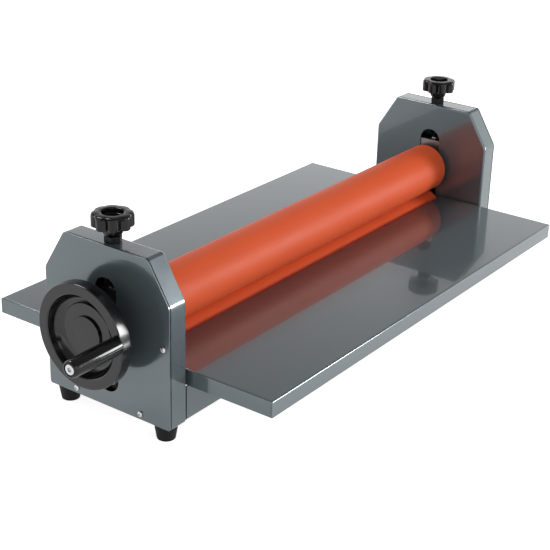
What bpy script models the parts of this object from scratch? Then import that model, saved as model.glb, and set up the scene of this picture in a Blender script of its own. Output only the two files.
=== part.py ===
"""Manual cold roll laminator, in metres, +Z up, standing on Z = 0.

X runs along the rollers, with the handwheel at -X. -Y is the feeding side, +Y the delivery side.
Pieces are placed under the empty "machine", whose own zero is midway between the two housings.
A height is measured from the floor. A depth is measured outwards from a housing's inner face.
"""

import math

import bmesh
import bpy
from mathutils import Vector

# Fits between pieces
GAP = 0.0003  # between pieces that touch or are fastened together
RUNNING_GAP = 0.0001  # on the radius of a shaft that turns in a bush
THREAD_GAP = 0.00015  # on the radius of a screw in its tapped hole

# Side housings
INNER_SPAN = 0.677  # between the housings' inner faces
HOUSING_THICKNESS = 0.029
HOUSING_WIDTH = 0.185
HOUSING_TOP_WIDTH = 0.123
HOUSING_HEIGHT = 0.200
SHOULDER_HEIGHT = 0.150  # from the housing's underside to its sloping shoulder
SHEET = 0.0015
BEND_RADIUS = 0.003
SLOT_HALF_WIDTH = 0.0162
SLOT_TOP = 0.1815
SIDE_PLATE_THICKNESS = 0.006
GUIDE_HALF_WIDTH = 0.0203  # of the side plate's straight guide slot
GUIDE_BOTTOM, GUIDE_TOP = 0.034, 0.187

# Feet
FOOT_HEIGHT = 0.020
FOOT_TOP_RADIUS, FOOT_BOTTOM_RADIUS = 0.014, 0.011
FOOT_Y = 0.0745

# Tables and the beams under them
TABLE_TOP = 0.084
TABLE_THICKNESS = 0.020
TABLE_OUTER_Y, TABLE_INNER_Y = 0.2075, 0.028
TABLE_END_GAP = 0.0044
TABLE_INNER_LIP = 0.005
BEAM_SHEET = 0.002
BEAM_OUTER_Y, BEAM_INNER_Y = 0.0915, 0.060
STUD_X, STUD_Y, STUD_RADIUS = 0.250, 0.076, 0.0025
STUD_DROP = 0.014  # from the table's top to the stud's lower end
NUT_HEIGHT, NUT_RADIUS = 0.004, 0.0046

# Rollers
ROLLER_RADIUS = 0.034
ROLLER_LENGTH = 0.663
UPPER_AXIS_Z = 0.1244
LOWER_AXIS_Z = UPPER_AXIS_Z - 2 * ROLLER_RADIUS - GAP
TUBE_RADIUS, TUBE_BORE = 0.027, 0.0235
PLUG_LENGTH = 0.016
JOURNAL_RADIUS = 0.010
JOURNAL_END_DEPTH = 0.0255

# Bearing blocks, their bushes and the lift springs
BLOCK_INNER_DEPTH = SHEET + 2 * GAP
FLANGE_DEPTH = SHEET + SIDE_PLATE_THICKNESS + 2 * GAP
BLOCK_OUTER_DEPTH = 0.022
BLOCK_HALF_WIDTH, FLANGE_HALF_WIDTH = 0.020, 0.027
LOWER_BLOCK_TOP = 0.078
UPPER_BLOCK_BOTTOM, UPPER_BLOCK_TOP = 0.102, 0.1655
FLANGE_DROP = 0.0055  # from a block's top to the top of its flange
BUSH_RADIUS, BUSH_COLLAR_RADIUS, BUSH_COLLAR = 0.013, 0.0155, 0.0015
SPRING_RADIUS, SPRING_WIRE_RADIUS, SPRING_TURNS = 0.0065, 0.0010, 4
STEPS_PER_TURN = 12

# Pressure screws and star knobs
SCREW_DEPTH = HOUSING_THICKNESS / 2
SCREW_RADIUS = 0.005
COLLAR_RADIUS, COLLAR_RISE, COLLAR_HEIGHT = 0.006, 0.002, 0.0045  # of the screw's thrust collar
BRIDGE_BOTTOM, BRIDGE_HALF_WIDTH, BRIDGE_OUTER_DEPTH = 0.190, 0.016, 0.024
LOCK_NUT_HEIGHT, LOCK_NUT_RADIUS = 0.0078, 0.0104
KNOB_BOTTOM, KNOB_HEIGHT = 0.230, 0.025
KNOB_LOBES, KNOB_RADIUS, KNOB_VALLEY = 8, 0.024, 0.0200
KNOB_LOBE_HEIGHT = 0.0173
POINTS_PER_LOBE = 4
KNOB_HUB_RADIUS, KNOB_RECESS_RADIUS, KNOB_RECESS = 0.0118, 0.0125, 0.0070
KNOB_EDGE = 0.0015
SCREW_IN_KNOB, KNOB_BORE = 0.0155, 0.0162  # lengths from the knob's underside

# Handwheel and handle, as depths from the left housing's inner face
WHEEL_FRONT = 0.0717
WHEEL_RADIUS, WHEEL_RIM_INNER = 0.0625, 0.0495
WHEEL_RIM_BACK, WHEEL_WEB_BACK, WHEEL_HUB_BACK = 0.0588, 0.0542, 0.0340
WHEEL_HUB_RADIUS, WHEEL_BORE = 0.018, 0.0083
WHEEL_EDGE = 0.0012
DISC_RADIUS, DISC_DROP = 0.036, 0.012
CAP_RADIUS, CAP_THICKNESS, CAP_EDGE, CAP_SPIGOT = 0.021, 0.0018, 0.0007, 0.003
HANDLE_ORBIT, HANDLE_ANGLE = 0.0563, math.radians(8.4)
HANDLE_END = 0.1442
HANDLE_BOLT_RADIUS, HANDLE_HEAD_RADIUS, HANDLE_HEAD_HEIGHT = 0.004, 0.0055, 0.0055
HANDLE_THREAD = 0.0105  # length of the bolt's thread in the wheel's rim
HANDLE_SOCKET_RADIUS, HANDLE_SOCKET_DEPTH = 0.0028, 0.003
GRIP_OUTLINE = (  # (distance from the wheel, radius), up to the end of the swell
    (0.0000, 0.0098),
    (0.0010, 0.0104),
    (0.0250, 0.0106),
    (0.0480, 0.0101),
)
GRIP_END_OUTLINE = (  # (distance back from the free end, radius)
    (0.0060, 0.0093),
    (0.0018, 0.0088),
    (0.0000, 0.0075),
)

# Cover screws
COVER_SCREW_PLACES = ((-0.0843, 0.120), (0.0843, 0.120), (-0.049, 0.0275), (0.049, 0.0275))
COVER_SCREW_RADIUS, COVER_HEAD_RADIUS, COVER_HEAD_HEIGHT = 0.0019, 0.0036, 0.0022
TAB_HALF_WIDTH = 0.007

HALF_SPAN = INNER_SPAN / 2
COVER_DEPTH = HOUSING_THICKNESS - 0.0017
CASING_DEPTH = COVER_DEPTH - GAP
HOUSING_TOP = FOOT_HEIGHT + HOUSING_HEIGHT
RIGHT_REACH = HALF_SPAN + SCREW_DEPTH + KNOB_RADIUS
LEFT_REACH = HALF_SPAN + HANDLE_END
MACHINE_X = (LEFT_REACH - RIGHT_REACH) / 2

SIDES = {"left": -1, "right": 1}
FRONT_BACK = {"front": -1, "rear": 1}
SMOOTH_ANGLE = math.radians(32)

COLOURS = {  # name: (red, green, blue, roughness, metallic)
    "slate_enamel": (0.105, 0.130, 0.140, 0.22, 0.30),
    "orange_silicone": (0.78, 0.135, 0.055, 0.45, 0.0),
    "black_plastic": (0.012, 0.012, 0.013, 0.22, 0.0),
    "black_rubber": (0.015, 0.015, 0.015, 0.65, 0.0),
    "black_oxide_steel": (0.03, 0.03, 0.032, 0.35, 0.9),
    "bright_steel": (0.62, 0.62, 0.63, 0.28, 1.0),
    "bronze": (0.55, 0.36, 0.16, 0.35, 1.0),
}


# Scene helpers


def clear_scene():
    for obj in list(bpy.data.objects):
        bpy.data.objects.remove(obj, do_unlink=True)


def material(name):
    """The Principled material of this name, made once."""
    found = bpy.data.materials.get(name)
    if found:
        return found
    red, green, blue, roughness, metallic = COLOURS[name]
    made = bpy.data.materials.new(name)
    made.use_nodes = True
    shader = made.node_tree.nodes["Principled BSDF"]
    shader.inputs["Base Color"].default_value = (red, green, blue, 1)
    shader.inputs["Roughness"].default_value = roughness
    shader.inputs["Metallic"].default_value = metallic
    return made


def empty(name, location, parent=None):
    obj = bpy.data.objects.new(name, None)
    bpy.context.scene.collection.objects.link(obj)
    obj.parent = parent
    obj.location = location
    return obj


def add(name, bm, parent, finish=None):
    """Links the mesh as an object under parent. With no finish it is a hidden helper for a Boolean."""
    bmesh.ops.recalc_face_normals(bm, faces=bm.faces)
    mesh = bpy.data.meshes.new(name)
    bm.to_mesh(mesh)
    bm.free()
    obj = bpy.data.objects.new(name, mesh)
    bpy.context.scene.collection.objects.link(obj)
    obj.parent = parent
    if finish:
        mesh.materials.append(material(finish))
        mesh.shade_smooth()
        mesh.set_sharp_from_angle(angle=SMOOTH_ANGLE)
    else:
        obj.hide_render = True
        obj.display_type = "WIRE"
    return obj


def boolean(piece, helper, operation):
    modifier = piece.modifiers.new(helper.name, "BOOLEAN")
    modifier.operation = operation
    modifier.solver = "EXACT"
    modifier.object = helper


# Outlines, as lists of (a, b) points


def circle(radius, count, centre=(0, 0)):
    turns = [2 * math.pi * i / count for i in range(count)]
    return [(centre[0] + radius * math.cos(t), centre[1] + radius * math.sin(t)) for t in turns]


def rectangle(low_a, high_a, low_b, high_b):
    return [(low_a, low_b), (high_a, low_b), (high_a, high_b), (low_a, high_b)]


def obround(half_width, low, high, steps=10):
    """An upright slot with round ends, from b = low to b = high."""
    points = []
    for centre, start in ((high - half_width, 0), (low + half_width, math.pi)):
        for i in range(steps + 1):
            turn = start + math.pi * i / steps
            points.append((half_width * math.cos(turn), centre + half_width * math.sin(turn)))
    return points


def rounded(corners, radius, steps=2):
    """The outline with an arc of this radius at each of its convex corners, which run anticlockwise."""
    points = []
    for before, corner, after in zip(corners[-1:] + corners[:-1], corners, corners[1:] + corners[:1]):
        corner = Vector(corner)
        back, ahead = (Vector(before) - corner).normalized(), (Vector(after) - corner).normalized()
        half = back.angle(ahead) / 2
        centre = corner + (back + ahead).normalized() * radius / math.sin(half)
        start, end = corner + back * radius / math.tan(half), corner + ahead * radius / math.tan(half)
        sweep = (start - centre).angle(end - centre)
        for i in range(steps + 1):
            turn = sweep * i / steps
            arm = start - centre
            turned_arm = (
                arm.x * math.cos(turn) - arm.y * math.sin(turn),
                arm.x * math.sin(turn) + arm.y * math.cos(turn),
            )
            points.append((centre.x + turned_arm[0], centre.y + turned_arm[1]))
    return points


def housing_outline(inset=0.0):
    """The housing's outline across the rollers, with its sloping shoulders, drawn in by inset."""
    half, top_half = HOUSING_WIDTH / 2 - inset, HOUSING_TOP_WIDTH / 2
    bottom, top = FOOT_HEIGHT + inset, HOUSING_TOP - inset
    slope = math.atan2(HOUSING_HEIGHT - SHOULDER_HEIGHT, (HOUSING_WIDTH - HOUSING_TOP_WIDTH) / 2)
    shoulder = FOOT_HEIGHT + SHOULDER_HEIGHT - inset * math.tan((math.pi / 2 - slope) / 2)
    top_half -= inset * math.tan(slope / 2)
    corners = [(-half, bottom), (half, bottom), (half, shoulder), (top_half, top)]
    corners += [(-top_half, top), (-half, shoulder)]
    return rounded(corners, max(BEND_RADIUS - inset, 0.001))


def star(lift=0.0):
    """The knob's lobed outline, moved outwards by lift."""
    count = KNOB_LOBES * POINTS_PER_LOBE
    points = []
    for i in range(count):
        turn = 2 * math.pi * i / count
        lobe = (0.5 + 0.5 * math.cos(KNOB_LOBES * turn)) ** 0.4
        reach = KNOB_VALLEY + (KNOB_RADIUS - KNOB_VALLEY) * lobe + lift
        points.append((reach * math.cos(turn), reach * math.sin(turn)))
    return points


# Solids


def placed(axis, along, a, b):
    """The point at this distance along an axis, and at a and b across it."""
    return {"X": (along, a, b), "Y": (a, along, b), "Z": (a, b, along)}[axis]


def prism(axis, outline, low, high, holes=()):
    """A straight-sided solid between low and high along an axis, with through holes."""
    bm = bmesh.new()
    edges = []
    for loop in (outline, *holes):
        verts = [bm.verts.new(placed(axis, low, a, b)) for a, b in loop]
        edges += [bm.edges.new(pair) for pair in zip(verts, verts[1:] + verts[:1])]
    bmesh.ops.triangle_fill(bm, edges=edges, use_beauty=True)
    grown = bmesh.ops.extrude_face_region(bm, geom=bm.faces[:])["geom"]
    moved = [v for v in grown if isinstance(v, bmesh.types.BMVert)]
    bmesh.ops.translate(bm, verts=moved, vec=placed(axis, high - low, 0, 0))
    return bm


def block(low, high):
    bm = bmesh.new()
    made = bmesh.ops.create_cube(bm, size=1)["verts"]
    middle, sides = [(a + b) / 2 for a, b in zip(low, high)], [b - a for a, b in zip(low, high)]
    bmesh.ops.scale(bm, verts=made, vec=sides)
    bmesh.ops.translate(bm, verts=made, vec=middle)
    return bm


def loft(rings, closed=False):
    """A skin over rings of equal counts. It joins its last ring to its first if closed, or is capped."""
    bm = bmesh.new()
    loops = [[bm.verts.new(point) for point in ring] for ring in rings]
    pairs = list(zip(loops, loops[1:]))
    if closed:
        pairs.append((loops[-1], loops[0]))
    else:
        bm.faces.new(loops[0])
        bm.faces.new(loops[-1])
    for one, other in pairs:
        for a, b, c, d in zip(one, one[1:] + one[:1], other[1:] + other[:1], other):
            bm.faces.new((a, b, c, d))
    return bm


def turned(axis, profile, count, centre=(0, 0), closed=False):
    """A turned solid. The profile is (distance along the axis, radius), and a closed one has a bore."""
    rings = []
    for along, radius in profile:
        rings.append([placed(axis, along, a, b) for a, b in circle(radius, count, centre)])
    return loft(rings, closed)


def merged(shapes):
    """Several meshes as one, for a helper that makes the same cut in many places."""
    bm = bmesh.new()
    for shape in shapes:
        mesh = bpy.data.meshes.new("shape")
        bmesh.ops.recalc_face_normals(shape, faces=shape.faces)
        shape.to_mesh(mesh)
        shape.free()
        bm.from_mesh(mesh)
        bpy.data.meshes.remove(mesh)
    return bm


def bevel(bm, width, segments, wanted):
    """Rounds the sharp edges whose two ends both pass the test."""
    sharp = [edge for edge in bm.edges if edge.calc_face_angle() > SMOOTH_ANGLE]
    chosen = [edge for edge in sharp if all(wanted(v.co) for v in edge.verts)]
    bmesh.ops.bevel(bm, geom=chosen, offset=width, segments=segments, profile=0.5, affect="EDGES")


def outwards(side, depth):
    """The X of a depth in the left (-1) or right (1) housing."""
    return side * (HALF_SPAN + depth)


def span(side, inner_depth, outer_depth):
    return sorted((outwards(side, inner_depth), outwards(side, outer_depth)))


# Housings


def casing(name, side, machine):
    """A folded pan: the slotted inner wall and the band round it. Tabs inside take the cover's screws."""
    low, high = span(side, 0, CASING_DEPTH)
    inner_face = outwards(side, 0)
    body = prism("X", housing_outline(), low, high)
    bevel(body, BEND_RADIUS / 2, 2, lambda co: abs(co.x - inner_face) < GAP)
    pan = add(f"{name}_casing", body, machine, "slate_enamel")

    hollow = prism("X", housing_outline(SHEET), *span(side, SHEET, 2 * HOUSING_THICKNESS))
    boolean(pan, add(f"{name}_casing_hollow", hollow, machine), "DIFFERENCE")

    tabs = []
    x_low, x_high = span(side, CASING_DEPTH - 2 * SHEET, CASING_DEPTH - SHEET)
    for y, z in COVER_SCREW_PLACES:
        on_flank = z > SHOULDER_HEIGHT / 2
        reach = HOUSING_WIDTH / 2 - SHEET / 2 if on_flank else abs(y) + TAB_HALF_WIDTH
        near, far = sorted(math.copysign(edge, y) for edge in (abs(y) - TAB_HALF_WIDTH, reach))
        z_low = z - TAB_HALF_WIDTH if on_flank else FOOT_HEIGHT + SHEET / 2
        tabs.append(block((x_low, near, z_low), (x_high, far, z + TAB_HALF_WIDTH)))
    boolean(pan, add(f"{name}_casing_tabs", merged(tabs), machine), "UNION")

    wall = span(side, -SHEET, 2 * SHEET)
    cuts = [prism("X", obround(SLOT_HALF_WIDTH, LOWER_AXIS_Z - SLOT_HALF_WIDTH, SLOT_TOP), *wall)]
    for place in COVER_SCREW_PLACES:
        hole = circle(COVER_SCREW_RADIUS + GAP, 12, place)
        cuts.append(prism("X", hole, *span(side, CASING_DEPTH - 4 * SHEET, CASING_DEPTH)))
    middle = outwards(side, SCREW_DEPTH)
    top_hole = circle(SCREW_RADIUS + 2 * GAP, 24, (middle, 0))
    cuts.append(prism("Z", top_hole, HOUSING_TOP - 2 * SHEET, HOUSING_TOP + SHEET))
    for y in (-FOOT_Y, FOOT_Y):
        foot_hole = circle(STUD_RADIUS + GAP, 12, (middle, y))
        cuts.append(prism("Z", foot_hole, FOOT_HEIGHT - SHEET, FOOT_HEIGHT + 2 * SHEET))
    boolean(pan, add(f"{name}_casing_holes", merged(cuts), machine), "DIFFERENCE")


def side_plate(name, side, machine):
    """The thick plate inside the casing, which guides the bearing blocks."""
    guide = rectangle(-GUIDE_HALF_WIDTH, GUIDE_HALF_WIDTH, GUIDE_BOTTOM, GUIDE_TOP)
    inner = SHEET + GAP
    low, high = span(side, inner, inner + SIDE_PLATE_THICKNESS)
    plate = prism("X", housing_outline(SHEET + 2 * GAP), low, high, [guide])
    add(f"{name}_side_plate", plate, machine, "black_oxide_steel")


def cover(name, side, machine):
    """The flat outer cover. The left one has a slot for the handwheel's journal."""
    holes = [circle(COVER_SCREW_RADIUS + GAP, 12, place) for place in COVER_SCREW_PLACES]
    if name == "left":
        holes.append(obround(SLOT_HALF_WIDTH, LOWER_AXIS_Z - SLOT_HALF_WIDTH, SLOT_TOP))
    low, high = span(side, COVER_DEPTH, HOUSING_THICKNESS)
    add(f"{name}_cover", prism("X", housing_outline(), low, high, holes), machine, "slate_enamel")


def cover_screws(name, side, machine):
    shank_end, face = HOUSING_THICKNESS - 0.008, HOUSING_THICKNESS + GAP
    crown = face + COVER_HEAD_HEIGHT
    profile = (
        (shank_end, COVER_SCREW_RADIUS),
        (face, COVER_SCREW_RADIUS),
        (face, COVER_HEAD_RADIUS),
        (crown - COVER_HEAD_HEIGHT / 3, COVER_HEAD_RADIUS),
        (crown, COVER_HEAD_RADIUS * 0.6),
    )
    profile = [(outwards(side, depth), radius) for depth, radius in profile]
    for number, place in enumerate(COVER_SCREW_PLACES, 1):
        add(f"{name}_cover_screw_{number}", turned("X", profile, 10, place), machine, "bright_steel")


def feet(name, side, machine):
    """Tapered rubber feet, each held by a screw whose head sits in the recess under it."""
    recess, head_top, rim = 0.008, 0.0115, 0.0008
    foot_top = FOOT_HEIGHT - GAP
    x = outwards(side, SCREW_DEPTH)
    profile = (
        (0, FOOT_BOTTOM_RADIUS - rim),
        (rim, FOOT_BOTTOM_RADIUS),
        (foot_top, FOOT_TOP_RADIUS),
        (foot_top, STUD_RADIUS + GAP),
        (head_top + GAP, STUD_RADIUS + GAP),
        (head_top + GAP, 2.5 * STUD_RADIUS),
        (0, 2.5 * STUD_RADIUS),
    )
    screw = (
        (recess, 2 * STUD_RADIUS),
        (head_top, 2 * STUD_RADIUS),
        (head_top, STUD_RADIUS),
        (FOOT_HEIGHT + 4 * SHEET, STUD_RADIUS),
    )
    for place, way in FRONT_BACK.items():
        centre = (x, way * FOOT_Y)
        foot = turned("Z", profile, 16, centre, closed=True)
        add(f"{name}_{place}_foot", foot, machine, "black_rubber")
        add(f"{name}_{place}_foot_screw", turned("Z", screw, 12, centre), machine, "bright_steel")


# Base and tables


def beam(name, way, machine):
    """A folded channel that joins the housings. Its upper part fits inside the table that it carries."""
    bottom, top = FOOT_HEIGHT + 2 * GAP, TABLE_TOP - SHEET - GAP
    step = TABLE_TOP - TABLE_THICKNESS - GAP
    half, upper_half = HALF_SPAN - GAP, HALF_SPAN - TABLE_END_GAP - 2 * SHEET
    web_inner_y = BEAM_OUTER_Y - BEAM_SHEET
    profile = (
        (BEAM_OUTER_Y, bottom),
        (BEAM_INNER_Y, bottom),
        (BEAM_INNER_Y, bottom + BEAM_SHEET),
        (web_inner_y, bottom + BEAM_SHEET),
        (web_inner_y, top - BEAM_SHEET),
        (BEAM_INNER_Y, top - BEAM_SHEET),
        (BEAM_INNER_Y, top),
        (BEAM_OUTER_Y, top),
    )
    channel = prism("X", [(way * y, z) for y, z in profile], -half, half)
    channel = add(f"{name}_beam", channel, machine, "slate_enamel")

    near, far = sorted((way * (BEAM_INNER_Y - SHEET), way * (BEAM_OUTER_Y + SHEET)))
    cuts = []
    for side in SIDES.values():
        x_low, x_high = sorted((side * upper_half, side * 2 * HALF_SPAN))
        cuts.append(block((x_low, near, step), (x_high, far, top + SHEET)))
        hole = circle(STUD_RADIUS + GAP, 12, (side * STUD_X, way * STUD_Y))
        cuts.append(prism("Z", hole, top - 2 * BEAM_SHEET, top + BEAM_SHEET))
    boolean(channel, add(f"{name}_beam_cuts", merged(cuts), machine), "DIFFERENCE")

    near, far = sorted((way * BEAM_INNER_Y, way * (BEAM_OUTER_Y - BEAM_SHEET / 2)))
    flanges = []
    for side in SIDES.values():
        x_low, x_high = sorted((side * (half - BEAM_SHEET / 2), side * (half - 1.5 * BEAM_SHEET)))
        low, high = (x_low, near, bottom + BEAM_SHEET / 2), (x_high, far, step - BEAM_SHEET / 2)
        flanges.append(block(low, high))
    boolean(channel, add(f"{name}_beam_end_flanges", merged(flanges), machine), "UNION")


def table(name, way, machine):
    """A folded tray, open below, with two welded studs that hold it to its beam."""
    half = HALF_SPAN - TABLE_END_GAP
    bottom = TABLE_TOP - TABLE_THICKNESS
    near, far = sorted((way * TABLE_INNER_Y, way * TABLE_OUTER_Y))
    tray = block((-half, near, bottom), (half, far, TABLE_TOP))
    bevel(tray, BEND_RADIUS / 2, 2, lambda co: abs(co.z - TABLE_TOP) < GAP)
    sheet = add(f"{name}_table", tray, machine, "slate_enamel")

    near, far = sorted((way * (TABLE_INNER_Y + SHEET), way * (TABLE_OUTER_Y - SHEET)))
    low, high = (-half + SHEET, near, bottom - SHEET), (half - SHEET, far, TABLE_TOP - SHEET)
    boolean(sheet, add(f"{name}_table_hollow", block(low, high), machine), "DIFFERENCE")

    near, far = sorted((way * (TABLE_INNER_Y - SHEET), way * (TABLE_INNER_Y + 2 * SHEET)))
    low, high = (-half - SHEET, near, bottom - SHEET), (half + SHEET, far, TABLE_TOP - TABLE_INNER_LIP)
    boolean(sheet, add(f"{name}_table_trim", block(low, high), machine), "DIFFERENCE")

    studs = []
    for x in (-STUD_X, STUD_X):
        stud = circle(STUD_RADIUS, 12, (x, way * STUD_Y))
        studs.append(prism("Z", stud, TABLE_TOP - STUD_DROP, TABLE_TOP - SHEET / 2))
    boolean(sheet, add(f"{name}_table_studs", merged(studs), machine), "UNION")


def table_nuts(name, way, machine):
    top = TABLE_TOP - SHEET - 2 * GAP - BEAM_SHEET
    for number, x in enumerate((-STUD_X, STUD_X), 1):
        place = (x, way * STUD_Y)
        hole = circle(STUD_RADIUS + THREAD_GAP, 12, place)
        nut = prism("Z", circle(NUT_RADIUS, 6, place), top - NUT_HEIGHT, top, [hole])
        add(f"{name}_table_nut_{number}", nut, machine, "bright_steel")


# Bearings and lift springs


def bearing_block(name, side, bottom, top, axis_z, machine, flange_drop=0.0):
    """A bored block in the side plate's guide slot, with a wider flange behind the plate."""
    core = span(side, BLOCK_INNER_DEPTH, BLOCK_OUTER_DEPTH)
    flange = span(side, FLANGE_DEPTH, BLOCK_OUTER_DEPTH)
    body = block((core[0], -BLOCK_HALF_WIDTH, bottom), (core[1], BLOCK_HALF_WIDTH, top))
    wide = block((flange[0], -FLANGE_HALF_WIDTH, bottom), (flange[1], FLANGE_HALF_WIDTH, top))
    piece = add(name, body, machine, "bright_steel")
    boolean(piece, add(f"{name}_flange", wide, machine), "UNION")
    if flange_drop:
        x_low, x_high = span(side, FLANGE_DEPTH, BLOCK_OUTER_DEPTH + SHEET)
        y = 2 * FLANGE_HALF_WIDTH
        step = block((x_low, -y, top - flange_drop), (x_high, y, top + SHEET))
        boolean(piece, add(f"{name}_step", step, machine), "DIFFERENCE")
    hole = circle(BUSH_RADIUS + GAP, 24, (0, axis_z))
    bore = prism("X", hole, *span(side, -SHEET, HOUSING_THICKNESS))
    boolean(piece, add(f"{name}_bore", bore, machine), "DIFFERENCE")


def bush(name, side, axis_z, machine):
    """A plain bronze bush with a collar at its outer end."""
    collar_start = BLOCK_OUTER_DEPTH + GAP
    collar_end = collar_start + BUSH_COLLAR
    bore = JOURNAL_RADIUS + RUNNING_GAP
    profile = (
        (BLOCK_INNER_DEPTH, bore),
        (BLOCK_INNER_DEPTH, BUSH_RADIUS),
        (collar_start, BUSH_RADIUS),
        (collar_start, BUSH_COLLAR_RADIUS),
        (collar_end, BUSH_COLLAR_RADIUS),
        (collar_end, bore),
    )
    profile = [(outwards(side, depth), radius) for depth, radius in profile]
    add(name, turned("X", profile, 24, (0, axis_z), closed=True), machine, "bronze")


def lift_spring(name, side, machine):
    """A coil spring between the two blocks, which raises the upper one as the pressure screw opens."""
    x = outwards(side, SCREW_DEPTH)
    start = LOWER_BLOCK_TOP + GAP + SPRING_WIRE_RADIUS
    end = UPPER_BLOCK_BOTTOM - GAP - SPRING_WIRE_RADIUS
    steps = STEPS_PER_TURN * SPRING_TURNS
    pitch = (end - start) / (2 * math.pi * SPRING_TURNS)
    rings = []
    for i in range(steps + 1):
        turn = 2 * math.pi * SPRING_TURNS * i / steps
        radial = Vector((math.cos(turn), math.sin(turn), 0))
        along = Vector((-math.sin(turn), math.cos(turn), pitch / SPRING_RADIUS)).normalized()
        across = along.cross(radial)
        centre = Vector((x, 0, start + pitch * turn)) + radial * SPRING_RADIUS
        rings.append([centre + radial * a + across * b for a, b in circle(SPRING_WIRE_RADIUS, 6)])
    add(name, loft(rings), machine, "bright_steel")


# Rollers


def roller(name, axis, long_left):
    """A rubber sleeve on a steel tube, with a plugged journal pressed into each end."""
    half = ROLLER_LENGTH / 2
    bore = TUBE_RADIUS + GAP
    sleeve = ((-half, bore), (-half, ROLLER_RADIUS), (half, ROLLER_RADIUS), (half, bore))
    tube = ((-half, TUBE_BORE), (-half, TUBE_RADIUS), (half, TUBE_RADIUS), (half, TUBE_BORE))
    add(f"{name}_sleeve", turned("X", sleeve, 48, closed=True), axis, "orange_silicone")
    add(f"{name}_tube", turned("X", tube, 32, closed=True), axis, "bright_steel")
    plug_start, plug_end = half - PLUG_LENGTH, half - SHEET
    plug_face, boss = 0.6 * TUBE_BORE, 1.4 * JOURNAL_RADIUS
    for place, side in SIDES.items():
        profile = [
            (side * plug_start, plug_face),
            (side * plug_start, TUBE_BORE - GAP),
            (side * plug_end, TUBE_BORE - GAP),
            (side * plug_end, boss),
            (side * half, boss),
            (side * half, JOURNAL_RADIUS),
        ]
        if long_left and side < 0:
            shoulder = outwards(side, WHEEL_HUB_BACK - GAP)
            profile += [(shoulder, JOURNAL_RADIUS), (shoulder, WHEEL_BORE - GAP)]
            profile += [(outwards(side, WHEEL_WEB_BACK), WHEEL_BORE - GAP)]
        else:
            profile += [(outwards(side, JOURNAL_END_DEPTH), JOURNAL_RADIUS)]
        add(f"{name}_{place}_journal", turned("X", profile, 24), axis, "bright_steel")


def handwheel(axis):
    """The black dished wheel, its hub cap and the shoulder bolt of its handle."""
    disc = WHEEL_FRONT - DISC_DROP
    floor, edge = disc - SHEET, WHEEL_EDGE
    profile = (
        (disc, WHEEL_BORE),
        (disc, DISC_RADIUS),
        (floor, DISC_RADIUS + edge / 2),
        (floor, WHEEL_RIM_INNER - edge),
        (WHEEL_FRONT - edge, WHEEL_RIM_INNER),
        (WHEEL_FRONT, WHEEL_RIM_INNER + edge),
        (WHEEL_FRONT, WHEEL_RADIUS - edge),
        (WHEEL_FRONT - edge, WHEEL_RADIUS),
        (WHEEL_RIM_BACK + edge, WHEEL_RADIUS),
        (WHEEL_RIM_BACK, WHEEL_RADIUS - edge),
        (WHEEL_WEB_BACK, WHEEL_RIM_INNER),
        (WHEEL_WEB_BACK, WHEEL_HUB_RADIUS + 2 * edge),
        (WHEEL_WEB_BACK - 2 * edge, WHEEL_HUB_RADIUS),
        (WHEEL_HUB_BACK, WHEEL_HUB_RADIUS - edge),
        (WHEEL_HUB_BACK, WHEEL_BORE),
    )
    profile = [(outwards(-1, depth), radius) for depth, radius in profile]
    wheel = add("handwheel", turned("X", profile, 40, closed=True), axis, "black_plastic")
    thread_start = WHEEL_FRONT - HANDLE_THREAD
    hole = circle(HANDLE_BOLT_RADIUS + THREAD_GAP, 16, handle_place())
    tapped = prism("X", hole, *span(-1, thread_start, WHEEL_FRONT + SHEET))
    boolean(wheel, add("handwheel_tapped_hole", tapped, axis), "DIFFERENCE")

    crown = disc + CAP_THICKNESS
    cap = (
        (disc - CAP_SPIGOT, WHEEL_BORE - GAP),
        (disc + GAP, WHEEL_BORE - GAP),
        (disc + GAP, CAP_RADIUS),
        (crown - CAP_EDGE, CAP_RADIUS),
        (crown, CAP_RADIUS - CAP_EDGE),
    )
    cap = [(outwards(-1, depth), radius) for depth, radius in cap]
    add("handwheel_cap", turned("X", cap, 24), axis, "black_plastic")

    head_end = HANDLE_END - GAP
    head_start = head_end - HANDLE_HEAD_HEIGHT
    socket_floor = head_end - HANDLE_SOCKET_DEPTH
    bolt = (
        (thread_start + GAP, HANDLE_BOLT_RADIUS),
        (head_start, HANDLE_BOLT_RADIUS),
        (head_start, HANDLE_HEAD_RADIUS),
        (head_end - GAP, HANDLE_HEAD_RADIUS),
        (head_end, HANDLE_HEAD_RADIUS - GAP),
        (head_end, HANDLE_SOCKET_RADIUS),
        (socket_floor, HANDLE_SOCKET_RADIUS),
    )
    bolt = [(outwards(-1, depth), radius) for depth, radius in bolt]
    add("handle_bolt", turned("X", bolt, 16, handle_place()), axis, "bright_steel")


def handle_place():
    """The handle's (y, z) from the wheel's axis."""
    return (-HANDLE_ORBIT * math.cos(HANDLE_ANGLE), HANDLE_ORBIT * math.sin(HANDLE_ANGLE))


def handle_grip(pivot):
    """The grip that turns on the shoulder bolt, with a counterbore for the bolt's head."""
    base, end = WHEEL_FRONT + GAP, HANDLE_END
    bore, counterbore = HANDLE_BOLT_RADIUS + RUNNING_GAP, HANDLE_HEAD_RADIUS + 2 * GAP
    head_start = end - GAP - HANDLE_HEAD_HEIGHT - GAP
    profile = [
        (base, bore),
        *((base + along, radius) for along, radius in GRIP_OUTLINE),
        *((end - back, radius) for back, radius in GRIP_END_OUTLINE),
        (end, counterbore),
        (head_start, counterbore),
        (head_start, bore),
    ]
    profile = [(outwards(-1, depth), radius) for depth, radius in profile]
    add("handle_grip", turned("X", profile, 20, closed=True), pivot, "black_plastic")


# Pressure screws and knobs


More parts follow.
